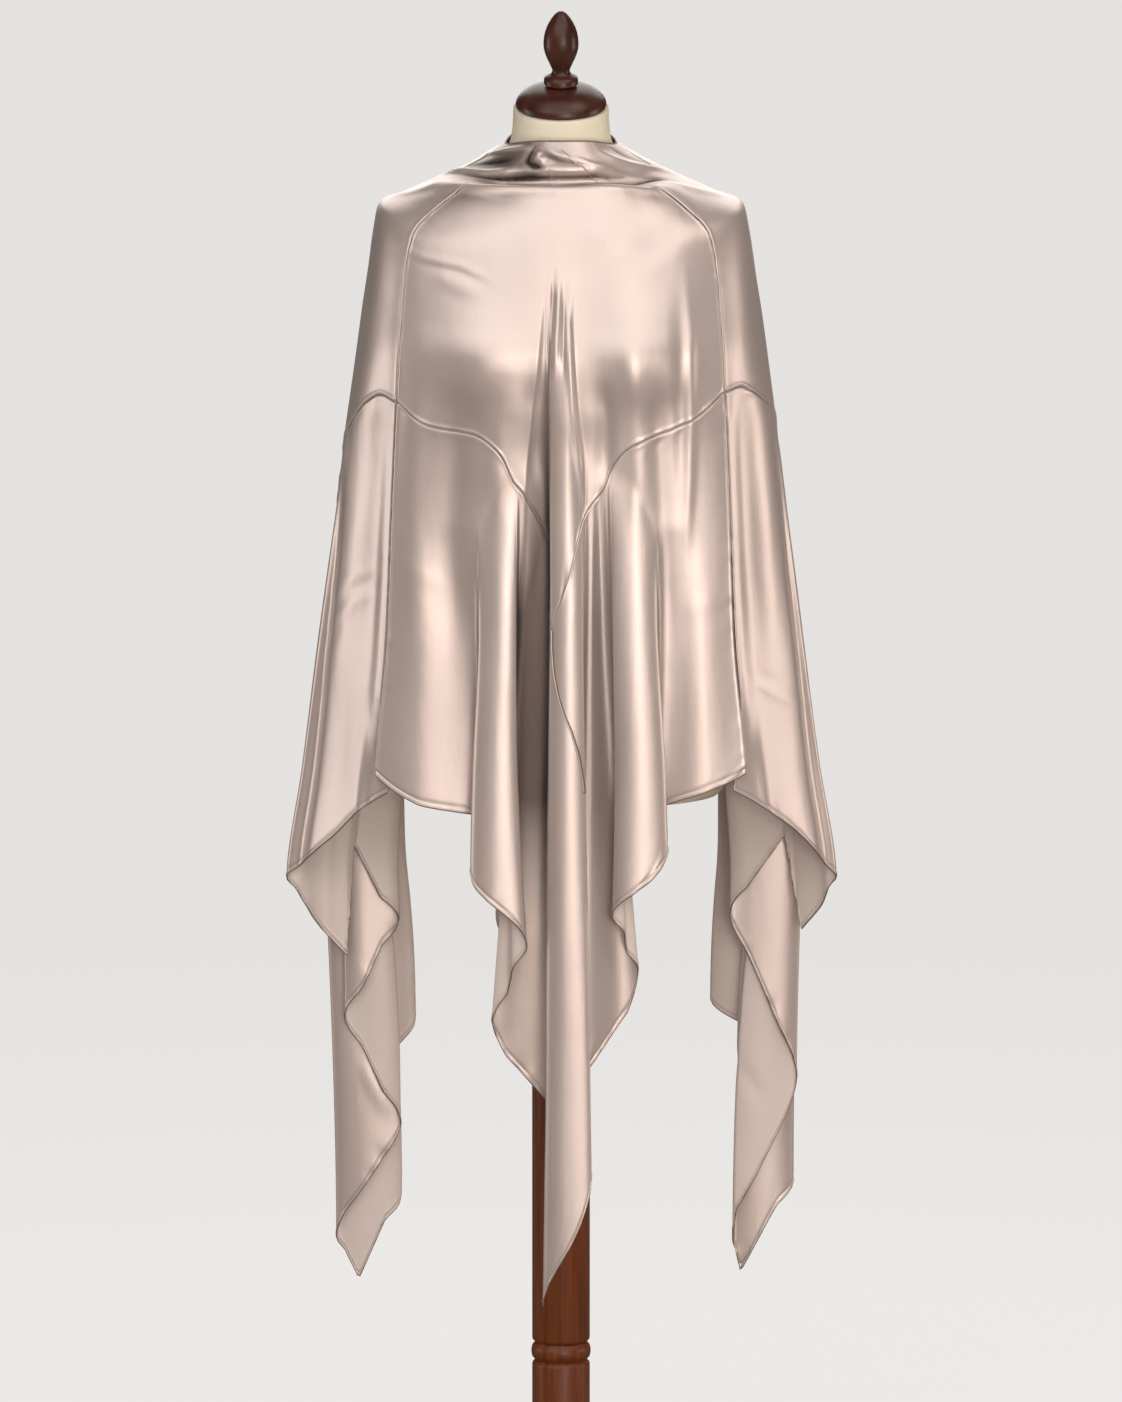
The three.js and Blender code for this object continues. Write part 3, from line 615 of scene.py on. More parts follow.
# %% Cowl table
COWL = [
    # height, width above, width below, points (degrees from the centre front, ring)
    (2.5, 3, 3, [(-100, 1.3), (-82, 0.7), (-63, 0.42), (-45, 0.3), (-32, 0.3), (-26, 0.34)]),
    (-2.2, 5, 6, [(-96, 2.0), (-75, 1.4), (-55, 1.05), (-38, 0.75)]),
    (
        4.5, 3.6, 3,
        [(-104, 2.9), (-89, 2.35), (-73, 1.95), (-60, 1.68), (-48, 1.48), (-36, 1.34), (-24, 1.22)],
    ),
    (-4.2, 2.2, 2.2, [(-26, 0.25), (-29, 0.6), (-29, 0.85), (-23, 1.06), (-16, 1.12), (-10, 1.08)]),
    (2.6, 4, 4, [(-20, 0.35), (-20, 0.7), (-12, 0.95)]),
    (-3.4, 3.2, 3.2, [(-22, 0.2), (-12, 0.55), (-2, 0.78), (8, 0.9), (20, 1.1), (34, 1.42)]),
    (2.2, 3.4, 3.2, [(-16, 0.2), (-6, 0.52), (4, 0.7), (16, 0.86), (30, 1.12), (46, 1.55), (60, 2.1)]),
    (3.0, 5, 6, [(36, 0.1), (39, 0.52), (49, 0.86), (72, 1.58), (100, 2.8)]),
    (-1.6, 6, 5, [(47, 0.05), (63, 0.6), (83, 1.45), (106, 2.5)]),
    (4.0, 4, 3, [(-24, 1.26), (-8, 1.2), (8, 1.19), (24, 1.2), (40, 1.3)]),
    (-4.6, 1.9, 1.8, [(-70, 2.15), (-46, 1.72), (-23, 1.48), (-2, 1.43), (24, 1.43), (52, 1.7)]),
    (2.6, 2.2, 2.2, [(-70, 2.35), (-51, 1.95), (-30, 1.68), (-12, 1.58), (16, 1.57), (44, 1.78)]),
    (-5.5, 2.6, 3.0, [(-8, 1.8), (9, 1.8), (22, 1.84), (40, 1.99), (58, 2.28), (74, 2.7)]),
    (4.5, 5, 10, [(-104, 3.4), (-68, 3.0), (-41, 3.0), (0, 3.0), (30, 3.0), (60, 3.1)]),
    (-2.4, 6, 14, [(-60, 3.25), (-39, 3.4), (-25, 3.46), (-6, 3.44)]),
    (-1.4, 5, 8, [(24, 3.25), (34, 3.36), (48, 3.45)]),
    (2.0, 5, 6, [(59, 2.6), (73, 3.28), (93, 4.3)]),
    (2.0, 6, 6, [(-66, 3.0), (-80, 3.6), (-96, 4.5)]),
    (3.4, 6, 6, [(116, 2.2), (140, 1.2), (170, 0.9), (200, 1.0), (232, 1.6)]),
    (-5.0, 5, 5, [(126, 2.3), (150, 1.6), (180, 1.4), (215, 1.6)]),
    (3.0, 6, 9, [(120, 3.1), (150, 2.6), (180, 2.4), (210, 2.6), (240, 3.0)]),
]
print("cowl creases:", len(COWL))

# %% Height of the creases
RUN_DOWN = [0, 25, 50, 73, 107, 142, 180, 220]
RUN_ROUND = 1.55
COWL_LOWEST = 6
END_FADE, END_LEFT = 0.3, 0.12
ROUND_EDGE, SHARP_EDGE = 2.0, 1.1
FRONT_BEFORE, TAIL_BEHIND, SIDE_BEYOND = 12, -40, 120


def beside(points, line):
    """Signed distance of points to a line of several legs, and the share of its length reached."""
    line = np.asarray(line, float)
    legs = np.linalg.norm(np.diff(line, axis=0), axis=1)
    run = np.append(0.0, np.cumsum(legs))
    best = np.full(points.shape[:-1], 1e9)
    signed, along = np.zeros_like(best), np.zeros_like(best)
    for a, b, length, start in zip(line[:-1], line[1:], legs, run):
        way = (b - a) / length
        t = np.clip((points - a) @ way, 0.0, length)
        off = points - (a + t[..., None] * way)
        distance = np.hypot(off[..., 0], off[..., 1])
        closer = distance < best
        best = np.where(closer, distance, best)
        turn = np.sign(way[0] * off[..., 1] - way[1] * off[..., 0]) * (1 if way[0] >= 0 else -1)
        signed = np.where(closer, turn * distance, signed)
        along = np.where(closer, (start + t) / run[-1], along)
    return signed, along


def soft_fold(across, up, rise, above, below, line, edge=ROUND_EDGE):
    signed, along = beside(np.stack([across, up], axis=-1), line)
    width = np.where(signed > 0, above, below)
    ends = np.clip(np.minimum(along, 1 - along) / END_FADE, 0.0, 1.0)
    ends = END_LEFT + (1 - END_LEFT) * ends * ends * (3 - 2 * ends)
    return rise * ends * np.exp(-(np.abs(signed / width) ** edge))


def run_down(level):
    """Distance down the cloth from the neck, in millimetres, at a ring."""
    return np.interp(level, range(len(RUN_DOWN)), RUN_DOWN)


def crease_height(points, level):
    """How far the listed creases lift the cloth at each point."""
    x, y, z = points[..., 0], points[..., 1], points[..., 2]
    views = {
        "front": (x, y < FRONT_BEFORE),
        "tail": (x, y > TAIL_BEHIND),
        "back": (x, y > 0),
        "left": (y, x < -SIDE_BEYOND),
        "right": (y, x > SIDE_BEYOND),
    }
    height = np.zeros(points.shape[:-1])
    for view, rise, above, below, line in CREASES:
        across, seen_here = views[view]
        height += np.where(seen_here, soft_fold(across, z, rise, above, below, line), 0.0)
    if level.min() > COWL_LOWEST:
        return height
    angle = np.degrees(angle_of(x, level))
    angle = np.where(y > 0, 180 - angle, angle)
    for rise, above, below, line in COWL:
        line = [(RUN_ROUND * turn, -run_down(ring)) for turn, ring in line]
        edge = SHARP_EDGE if rise < 0 else ROUND_EDGE
        for whole in (-360, 0):
            across = RUN_ROUND * (angle + whole)
            height += soft_fold(across, -run_down(level), rise, above, below, line, edge)
    return height


lowest_ring = max(ring for *_, line in COWL for _, ring in line)
print("cowl creases reach", round(float(run_down(lowest_ring))), "mm below the neck")

# %% [markdown]
# ## One panel of cloth
#
# Each panel is a grid that follows the folds. Along every seam the allowances turned to the inside
# make a soft welt with a groove at the stitching, and the stitches draw the satin into small uneven
# puckers. The grid gets its creases and puckers first. Then it is given a thickness, with the shiny
# face outside and the dull reverse inside. A Solidify modifier could do that, but here the rim, the
# two finishes and the shade painted in the folds and along the seams are set in the same step.

# %% Measures on a grid
NEAR_EDGE = [0.8, 1.7, 2.7, 4.0, 5.6, 8.0, 11.0]
EDGE_ZONE = 13
FINE_STEPS = 60


def length_along(grid, axis):
    """Distance from the first row or column, measured on the cloth."""
    step = np.linalg.norm(np.diff(grid, axis=axis), axis=-1)
    start = np.zeros_like(np.take(step, [0], axis=axis))
    return np.concatenate([start, np.cumsum(step, axis=axis)], axis=axis)


def square_to(grid):
    along, down = np.gradient(grid, axis=1), np.gradient(grid, axis=0)
    normal = np.cross(along, down)
    return normal / np.maximum(1e-9, np.linalg.norm(normal, axis=-1, keepdims=True))


def faces_out(grid, normal):
    return np.sum(normal * (grid * [1, 1, 0])) > 0


def places_over(points_at, folds, spacing):
    """Places along the table, closer where a fold turns."""
    fine = np.linspace(0.0, folds.last, FINE_STEPS * folds.last + 1)
    step = 0
    for share in (0.0, 0.4, 0.7, 1.0):
        level = hang_level(folds.seam(fine) * (1 - share) + folds.hem(fine) * share)
        row = points_at(fine, level[None, :])[0]
        step = np.maximum(step, np.linalg.norm(np.diff(row, axis=0), axis=1))
    run = np.append(0.0, np.cumsum(step))
    stops = np.linspace(0.0, run[-1], int(run[-1] / spacing) + 1)
    edge = np.array(NEAR_EDGE)
    inside = stops[(stops > EDGE_ZONE) & (stops < run[-1] - EDGE_ZONE)]
    stops = np.concatenate([[0.0], edge, inside, run[-1] - edge[::-1], [run[-1]]])
    return np.interp(stops, run, fine)


def rows_down(count, height, top, bottom):
    """Shares of the way down a panel, closer beside a sewn edge."""
    edge = np.array(NEAR_EDGE) / height
    rows = np.linspace(0.0, 1.0, count)
    if top:
        rows = np.concatenate([[0.0], edge, rows[rows > edge[-1] * 1.1]])
    if bottom:
        rows = np.concatenate([rows[rows < 1 - edge[-1] * 1.1], 1 - edge[::-1], [1.0]])
    return rows


print("rows beside an edge:", len(NEAR_EDGE))

# %% Waves, welts and puckers
RIPPLES = [
    # height, length, turn
    (1.0, 2.5, 1.0),
    (0.8, 3.9, 2.1),
    (0.9, 6.1, 0.7),
]
SLOW_WAVES = [
    # height, length across, length up, turn
    (1.0, 23, 190, 1),
    (0.7, 13, -140, 2),
    (0.6, 37, 61, 3),
]
RIPPLE_TURN, RIPPLE_SCALE = 1.7, 1.6
RIPPLE_MEAN, RIPPLE_SWING, SWING_LENGTH = 0.55, 0.45, 31.0
DEPTH_SHARE = 0.8


def ripple(s, seed):
    """Uneven small waves along an edge."""
    turn = RIPPLE_TURN * seed
    waves = sum(height * np.sin(s / length + way * turn) for height, length, way in RIPPLES)
    swing = RIPPLE_MEAN + RIPPLE_SWING * np.sin(s / SWING_LENGTH + turn)
    return waves * swing / RIPPLE_SCALE


def slow_wave(points, seed):
    """Wide and very shallow unevenness of hanging cloth."""
    s, z = points[..., 0] + DEPTH_SHARE * points[..., 1], points[..., 2]
    waves = (height * np.sin(s / wide + z / tall + way * seed) for height, wide, tall, way in SLOW_WAVES)
    return sum(waves)


def ridge(d, middle, width):
    """A soft ridge of height 1 at a distance from an edge."""
    return np.exp(-(((d - middle) / width) ** 2))


def edge_welt(d):
    return 0.85 * ridge(d, 1.9, 1.2) - 0.4 * ridge(d, 0, 0.6)


def edge_tuck(d):
    return 0.25 * ridge(d, 4.0, 2.2) - 0.9 * ridge(d, 0, 1.2)


def pucker(height, s, seed, d, reach):
    """Ripples along an edge that die away from it."""
    return height * ripple(s, seed) * np.exp(-d / reach)


print("a welt stands", round(float(edge_welt(1.9)), 2), "mm high")

# %% Dressing a grid
SLOW_LIFT, SLOW_FADE = 0.55, 60
LEAF_X, LEAF_Y = (-30, -10), (-30, 30)
# The shades below are painted shade: they darken the satin's colour through its shade attribute, in the
# collar, the left leaf of the cowl, the troughs, beside the arm seams, under the zigzag seam and along the
# hem's stitching.
COLLAR_SHADE, LEAF_SHADE, COLLAR_RINGS = 0.06, 0.56, (1.8, 2.5)
COWL_SHADE, COWL_RINGS = 0.26, (3.4, 4.2)
TROUGH_SHADE, TROUGH_DEEPEST = 0.05, 5
UNSEWN_Z = (1478, 1490)
SEWN_WIDTH = 60
MIDDLE_REACH, MIDDLE_SEAM_SHADE, SIDE_SEAM_SHADE = 20, 0.2, 0.8
ARM_WELT, ARM_PUCKER, ARM_REACH = 0.55, 0.42, 9
ZIGZAG_WELT, ZIGZAG_PUCKER, ZIGZAG_REACH, ZIGZAG_STRETCH = 1.1, 0.4, 10, 0.6
HEM_PUCKER, HEM_REACH, HEM_STRETCH = 0.9, 12, 0.7
HEM_ROLL, HEM_GROOVE, HEM_RELIEF = 1.6, 4.6, 0.5
ZIGZAG_SHADE, HEM_SHADE = 0.9, 0.4


def valley_shade(grid, level, crease):
    """Shade painted into the valleys of the cowl and the other troughs, where little light reaches."""
    left_leaf = fade(grid[..., 0], *LEAF_X) * fade(grid[..., 1], *LEAF_Y)
    collar = (COLLAR_SHADE + LEAF_SHADE * left_leaf) * fade(level, *COLLAR_RINGS)
    cowl = np.clip(collar - COWL_SHADE * crease, 0, 1) * fade(level, *COWL_RINGS)
    return np.maximum(cowl, TROUGH_SHADE * np.clip(-crease, 0, TROUGH_DEEPEST))


def sewn_share(grid, across):
    """1 where an arm seam shows; it runs out at the narrow neck and under the left roll."""
    left_of_neck = np.where(grid[..., 0] < 0, fade(grid[..., 2], *UNSEWN_Z), 1)
    return np.clip(across[:, -1:] / SEWN_WIDTH, 0, 1) * np.where(grid[..., 1] < 0, left_of_neck, 1)


def dressed_grid(grid, level, recess, seed, yoke):
    """The grid with its creases, seam welts and puckers, and how much shade is painted on each point."""
    normal = square_to(grid)
    if not faces_out(grid, normal):
        normal = -normal
    down, across = length_along(grid, 0), length_along(grid, 1)
    up, from_right = down[-1:] - down, across[:, -1:] - across
    crease = crease_height(grid, level)
    lift = crease + SLOW_LIFT * slow_wave(grid, seed) * np.clip(down / SLOW_FADE, 0, 1)
    shade = np.maximum(recess, valley_shade(grid, level, crease))
    sewn = sewn_share(grid, across)
    in_the_middle = np.abs(grid[..., 0]).min() < MIDDLE_REACH
    seam_shade = MIDDLE_SEAM_SHADE if in_the_middle else SIDE_SEAM_SHADE
    zigzag = ZIGZAG_STRETCH * across
    for near, turn in ((across, 1), (from_right, 2)):
        lift += sewn * (ARM_WELT * edge_welt(near) + pucker(ARM_PUCKER, down, seed + turn, near, ARM_REACH))
        # painted shade beside the arm seam
        shade = np.maximum(shade, seam_shade * sewn * ridge(near, 0, 1.2))
    if yoke:
        lift += ZIGZAG_WELT * edge_welt(up) + pucker(ZIGZAG_PUCKER, zigzag, seed + 3, up, ZIGZAG_REACH)
    else:
        lift += edge_tuck(down) + pucker(ZIGZAG_PUCKER, zigzag, seed + 3, down, ZIGZAG_REACH)
        lift += pucker(HEM_PUCKER, HEM_STRETCH * across, seed + 4, up, HEM_REACH)
        lift += HEM_RELIEF * ridge(up, HEM_ROLL, 1.4) - HEM_RELIEF * ridge(up, HEM_GROOVE, 1.2)
        # painted shade under the zigzag seam and along the hem's stitching line
        shade = np.maximum(shade, ZIGZAG_SHADE * ridge(down, 0, 1.5))
        shade = np.maximum(shade, HEM_SHADE * ridge(up, HEM_GROOVE, 1.0))
    return grid + lift[..., None] * normal, shade


print("hem roll", HEM_ROLL, "mm from the edge")

# %% Thin shell
CLOTH = 0.8
FACE, REVERSE = 0, 1
REVERSE_SHADE = 0.6


def linked(name, mesh):
    """An object for a finished mesh, placed in the scene."""
    piece = bpy.data.objects.new(name, mesh)
    scene.collection.objects.link(piece)
    return piece


def shell(name, grid, shade, finishes):
    """A closed thin sheet over a grid: face outside, reverse inside."""
    normal = square_to(grid)
    half = normal * CLOTH / 2
    points = np.concatenate([(grid + half).reshape(-1, 3), (grid - half).reshape(-1, 3)])
    rows, cols = grid.shape[:2]
    count = rows * cols
    ids = np.arange(count).reshape(rows, cols)
    corners = ids[:-1, :-1], ids[1:, :-1], ids[1:, 1:], ids[:-1, 1:]
    a, b, c, d = (corner.ravel() for corner in corners)
    faces = [np.stack([a, d, c, b], 1), np.stack([a, b, c, d], 1) + count]
    for rim in (ids[0], ids[-1][::-1], ids[::-1, 0], ids[:, -1]):
        faces.append(np.stack([rim[:-1], rim[:-1] + count, rim[1:] + count, rim[1:]], 1))
    quads = np.concatenate(faces)
    p = points[quads]
    volume = np.sum(np.cross(p[:, 0], p[:, 1]) * p[:, 2]) + np.sum(np.cross(p[:, 0], p[:, 2]) * p[:, 3])
    if volume < 0:
        quads = quads[:, ::-1]
    mesh = bpy.data.meshes.new(name)
    mesh.from_pydata((points * MM).tolist(), [], quads.tolist())
    first, second = (FACE, REVERSE) if faces_out(grid, normal) else (REVERSE, FACE)
    side = np.full(len(quads), FACE)
    layer = len(faces[0])
    side[:layer], side[layer : 2 * layer] = first, second
    for finish in finishes:
        mesh.materials.append(finish)
    mesh.polygons.foreach_set("material_index", side)
    mesh.polygons.foreach_set("use_smooth", np.ones(len(quads), bool))
    uv = np.stack([length_along(grid, 1), length_along(grid, 0)], -1).reshape(-1, 2) * MM
    uv = np.concatenate([uv, uv])[quads.ravel()]
    mesh.uv_layers.new(name="cloth").data.foreach_set("uv", uv.ravel())
    # painted shade for the satin's colour: full on the face, a share of it on the reverse
    depth = mesh.attributes.new("shade", "FLOAT", "POINT")
    shares = [1.0 if layer == FACE else REVERSE_SHADE for layer in (first, second)]
    depth.data.foreach_set("value", np.concatenate([share * shade.ravel() for share in shares]))
    mesh.update()
    return linked(name, mesh)


print("panel maker ready, cloth", CLOTH, "mm thick")

# %% [markdown]
# ## Satin
#
# Satin is woven so that long threads float on its face. They act like a brushed mirror: broad, soft
# shines along the folds and quick falls into shadow. The reverse shows the other threads and is dull.
# A picture of satin would hold its own shines, so the finish is nodes, and the lamps make the shines.
# The nodes also paint shade: the cloth's shade attribute darkens its colour in deep folds and at seams.

# %% Satin face and reverse
# DEEP_SHADE is the colour of painted shade: where the shade attribute is full, the satin's colour is
# multiplied by it.
DEEP_SHADE = (0.085, 0.062, 0.052, 1.0)
RUMPLE = (48.0, 48.0, 14.0)


def new_finish(name, values):
    """A material with its node tree and its main shader."""
    material = bpy.data.materials.new(name)
    material.use_nodes = True
    shader = material.node_tree.nodes["Principled BSDF"]
    set_inputs(shader, values)
    return material, material.node_tree, shader


def tone_ramp(tree, low, high, dark, light):
    """A ramp from the dark to the light tone of one colour."""
    ramp = add_node(tree, "ValToRGB")
    for end, place, colour in zip(ramp.color_ramp.elements, (low, high), (dark, light)):
        end.position = place
        end.color = (*colour, 1.0)
    return ramp


def cloth_material(name, light, dark, roughness, metal, sheen):
    values = {"Metallic": metal, "Sheen Weight": sheen, "Sheen Roughness": 0.4}
    material, tree, shader = new_finish(name, values)
    place = add_node(tree, "TexCoord")
    cloud = add_node(tree, "TexNoise", {"Scale": 7.0, "Detail": 3.0})
    tone = tone_ramp(tree, 0.3, 0.7, dark, light)
    # Painted shade: the cloth's shade attribute pulls the base colour towards DEEP_SHADE.
    depth = add_node(tree, "Attribute", attribute_name="shade")
    painted_shade = add_node(tree, "Mix", data_type="RGBA", blend_type="MULTIPLY")
    plain, deep = (socket for socket in painted_shade.inputs if socket.type == "RGBA")
    deep.default_value = DEEP_SHADE
    tree.links.new(tone.outputs["Color"], plain)
    tree.links.new(next(o for o in painted_shade.outputs if o.type == "RGBA"), shader.inputs["Base Color"])
    polish = add_node(tree, "MapRange", {"To Min": roughness - 0.03, "To Max": roughness + 0.04})
    stretch = add_node(tree, "Mapping", {"Scale": RUMPLE})
    rumple = add_node(tree, "TexNoise", {"Scale": 1.0, "Detail": 4.0})
    bump = add_node(tree, "Bump", {"Strength": 0.12, "Distance": 0.004})
    wire(
        tree,
        (place, "Object", cloud, "Vector"),
        (cloud, "Fac", tone, "Fac"),
        (depth, "Fac", painted_shade, "Factor"),
        (cloud, "Fac", polish, "Value"),
        (polish, "Result", shader, "Roughness"),
        (place, "Object", stretch, "Vector"),
        (stretch, "Vector", rumple, "Vector"),
        (rumple, "Fac", bump, "Height"),
        (bump, "Normal", shader, "Normal"),
    )
    return material


satin = cloth_material("champagne_satin", (0.62, 0.51, 0.458), (0.58, 0.475, 0.424), 0.38, 0.55, 0.1)
reverse = cloth_material("satin_reverse", (0.67, 0.56, 0.50), (0.63, 0.525, 0.467), 0.5, 0.1, 0.2)
# painted shade: a dark satin for the cords that stand for the shade under the hems, at the neckline and
# beside the lap line
painted_edge_shade = cloth_material("dark_shade_cords", (0.17, 0.12, 0.098), (0.14, 0.098, 0.08), 0.5, 0.1, 0.1)
print("finishes:", satin.name, reverse.name, painted_edge_shade.name)

# %% [markdown]
# ## Cut and hang the eight panels
#
# A yoke runs from the neck to the zigzag seam, and its drop hangs from there to the hem. They could be
# made one by one, but both use the same places along the seam, so that the pleats run straight through
# the stitching.

# %% Hanging a yoke and its drop
YOKE_HEIGHT, DROP_HEIGHT = 400.0, 450.0
NECK_CROWDING = 1.5
SEAM_STEP, STEEPEST = 0.12, 10
panels, grids = {}, {}


def seam_levels(folds, points_at, places):
    """Ring numbers just above and just below the zigzag seam, and at the hem."""
    ends = []
    for step in (-SEAM_STEP, SEAM_STEP):
        p = np.clip(places + step, 0, folds.last)
        ends.append(points_at(p, hang_level(folds.seam(p))[None])[0])
    way = ends[1] - ends[0]
    steep = np.linalg.norm(way, axis=1) / np.maximum(1e-6, np.hypot(way[:, 0], way[:, 1]))
    gap = SEAM_GAP / 2 * np.minimum(STEEPEST, steep)
    seam = folds.seam(places)
    return hang_level(seam + gap), hang_level(seam - gap), hang_level(folds.hem(places))


def hang(yoke_name, drop_name, folds, points_at, seed, spacing, top_rows, low_rows, recess_at=None):
    places = places_over(points_at, folds, spacing)
    above, below, hem = seam_levels(folds, points_at, places)
    v = rows_down(top_rows, YOKE_HEIGHT, False, True) ** NECK_CROWDING
    w = rows_down(low_rows, DROP_HEIGHT, True, True)
    levels = {yoke_name: v[:, None] * above, drop_name: below + w[:, None] * (hem - below)}
    for name, level in levels.items():
        grid = points_at(places, level)
        recess = recess_at(places, grid) if recess_at else np.zeros(level.shape)
        grids[name], shade = dressed_grid(grid, level, recess, seed + len(panels), name == yoke_name)
        panels[name] = shell(name + "_cloth", grids[name], shade, (satin, reverse))
        print(name, "faces", len(panels[name].data.polygons))


print("zigzag seam gap", SEAM_GAP, "mm")

# %% Eight panels
PLEAT_SHADES = [
    # painted shade, and the places in the fold table where it begins, is full, is full still, and ends
    (0.93, (5.0, 5.4, 7.6, 8.0)),
    (0.42, (10.0, 10.5, 12.6, 13.0)),
    (0.44, (2.0, 2.4, 2.6, 3.0)),
    (0.44, (15.0, 15.4, 15.6, 16.0)),
]
OPEN_BELOW, OPEN_OVER, LEAST_SHADE = 660, 160, 0.1
SHADE_GROWTH = 4


def recess_of(folds):
    """Shade painted at the bottom of the pleats, where little light comes in."""

    def at(p, grid):
        deep = sum(np.interp(p, places, [0, tone, tone, 0]) for tone, places in PLEAT_SHADES)
        low = np.clip((grid[..., 2] - OPEN_BELOW) / OPEN_OVER, LEAST_SHADE, 1)
        return deep * low * np.clip(SHADE_GROWTH * folds.grown(p, grid[..., 2]), 0, 1)

    return at


hang(
    "front_yoke", "front_drop", front, points_of(face_points, front, False),
    seed=1, spacing=4.8, top_rows=138, low_rows=90, recess_at=recess_of(front),
)
hang(
    "back_yoke", "back_drop", back, points_of(face_points, back, True),
    seed=2, spacing=6.2, top_rows=76, low_rows=80, recess_at=recess_of(back),
)
hang(
    "left_shoulder", "left_drop", left, points_of(side_points, left, -1),
    seed=3, spacing=6.2, top_rows=84, low_rows=84,
)
hang(
    "right_shoulder", "right_drop", right, points_of(side_points, right, 1),
    seed=4, spacing=6.2, top_rows=84, low_rows=84,
)

# %% [markdown]
# ## Rolled hems
#
# Fine satin is finished with a rolled hem: the raw edge is rolled between the fingers into a cord no
# thicker than a match and slip-stitched. At the hem the roll is a satin cord. The dark cords under it,
# along the neckline and beside the lap line are painted shade. A curve with a bevel would do for one
# edge. Here all the cords of a panel are joined in one mesh.

# %% Cords along a line
CORD_SIDES = 6
# finish slots: the dark painted-shade cords, then satin
SHADE_CORD_SLOT, SATIN_SLOT = 0, 1


def unit(vectors):
    return vectors / np.maximum(1e-9, np.linalg.norm(vectors, axis=1, keepdims=True))


def tube(line, radius):
    """Points and faces of a thin round cord along a line."""
    ahead = unit(np.gradient(line, axis=0))
    side = unit(np.cross(ahead, [0.03, 0.05, 1.0]))
    up = np.cross(side, ahead)
    angles = np.arange(CORD_SIDES) * 2 * math.pi / CORD_SIDES
    ring = np.cos(angles)[None, :, None] * side[:, None] + np.sin(angles)[None, :, None] * up[:, None]
    faces = []
    for i in range(0, CORD_SIDES * (len(line) - 1), CORD_SIDES):
        for k in range(CORD_SIDES):
            after = (k + 1) % CORD_SIDES
            faces.append((i + k, i + after, i + CORD_SIDES + after, i + CORD_SIDES + k))
    last = CORD_SIDES * (len(line) - 1)
    faces += [tuple(reversed(range(CORD_SIDES))), tuple(range(last, last + CORD_SIDES))]
    return (line[:, None] + radius * ring).reshape(-1, 3), faces


def face_outwards():
    bpy.ops.mesh.select_all(action="SELECT")
    bpy.ops.mesh.normals_make_consistent(inside=False)
    bpy.ops.object.mode_set(mode="OBJECT")


def cords(name, lines):
    """One piece of several cords; each line comes with its radius and its finish."""
    points, faces, finish = [], [], []
    for line, radius, slot in lines:
        more, rim = tube(line, radius)
        faces += [tuple(v + len(points) for v in face) for face in rim]
        finish += [slot] * len(rim)
        points += (more * MM).tolist()
    mesh = bpy.data.meshes.new(name)
    mesh.from_pydata(points, [], faces)
    # slot 0 is the dark finish of the painted-shade cords
    mesh.materials.append(painted_edge_shade)
    mesh.materials.append(satin)
    mesh.polygons.foreach_set("material_index", np.array(finish))
    mesh.polygons.foreach_set("use_smooth", np.ones(len(faces), bool))
    mesh.update()
    piece = linked(name, mesh)
    bpy.ops.object.select_all(action="DESELECT")
    bpy.context.view_layer.objects.active = piece
    piece.select_set(True)
    bpy.ops.object.mode_set(mode="EDIT")
    face_outwards()
    return piece


print("cords have", CORD_SIDES, "sides")

# %% Hem rolls, seam cords and the lap line
LAP_LINE = [
    # across, up, as seen from the front on the centre tube
    (-10.5, 1010), (-10.5, 990), (-8.5, 965), (-3.5, 938), (3, 918), (10, 902), (18, 876),
    (22, 855), (25, 832),
]
LAP_POINTS, LAP_SMOOTHING, LAP_SINK = 60, 6, 0.2
LOOK_ACROSS, LOOK_UP = 3.5, 4.5
# The dark cords are painted shade: one just under each hem roll, one along the neckline and one beside the
# lap line as its shadow.
HEM_BELOW, ZIGZAG_BELOW = [0.0, 0.0, 1.1], [0.0, 0.0, 0.2]
LAP_SHADOW = [1.5, 0.2, 0.4]
HEM_FACE_RADIUS, HEM_RADIUS, NECK_RADIUS = 0.9, 0.8, 1.1
ZIGZAG_RADIUS, ARM_RADIUS, LAP_RADIUS, SHADOW_RADIUS = 0.6, 0.5, 1.0, 0.8
LEFT_SEAM_TOP = 1480


def on_cloth(grid, line):
    """Points of the outermost layer of cloth under a line seen from the front."""
    spots = grid.reshape(-1, 3)
    fine = np.linspace(0, len(line) - 1, LAP_POINTS)
    found = []
    for x, z in zip(*(np.interp(fine, range(len(line)), column) for column in zip(*line))):
        beside_x, beside_z = np.abs(spots[:, 0] - x) < LOOK_ACROSS, np.abs(spots[:, 2] - z) < LOOK_UP
        found.append((x, spots[beside_x & beside_z, 1].min() - LAP_SINK, z))
    found = np.array(found)
    for _ in range(LAP_SMOOTHING):
        found[1:-1, 1] = (found[:-2, 1] + 2 * found[1:-1, 1] + found[2:, 1]) / 4
    return found


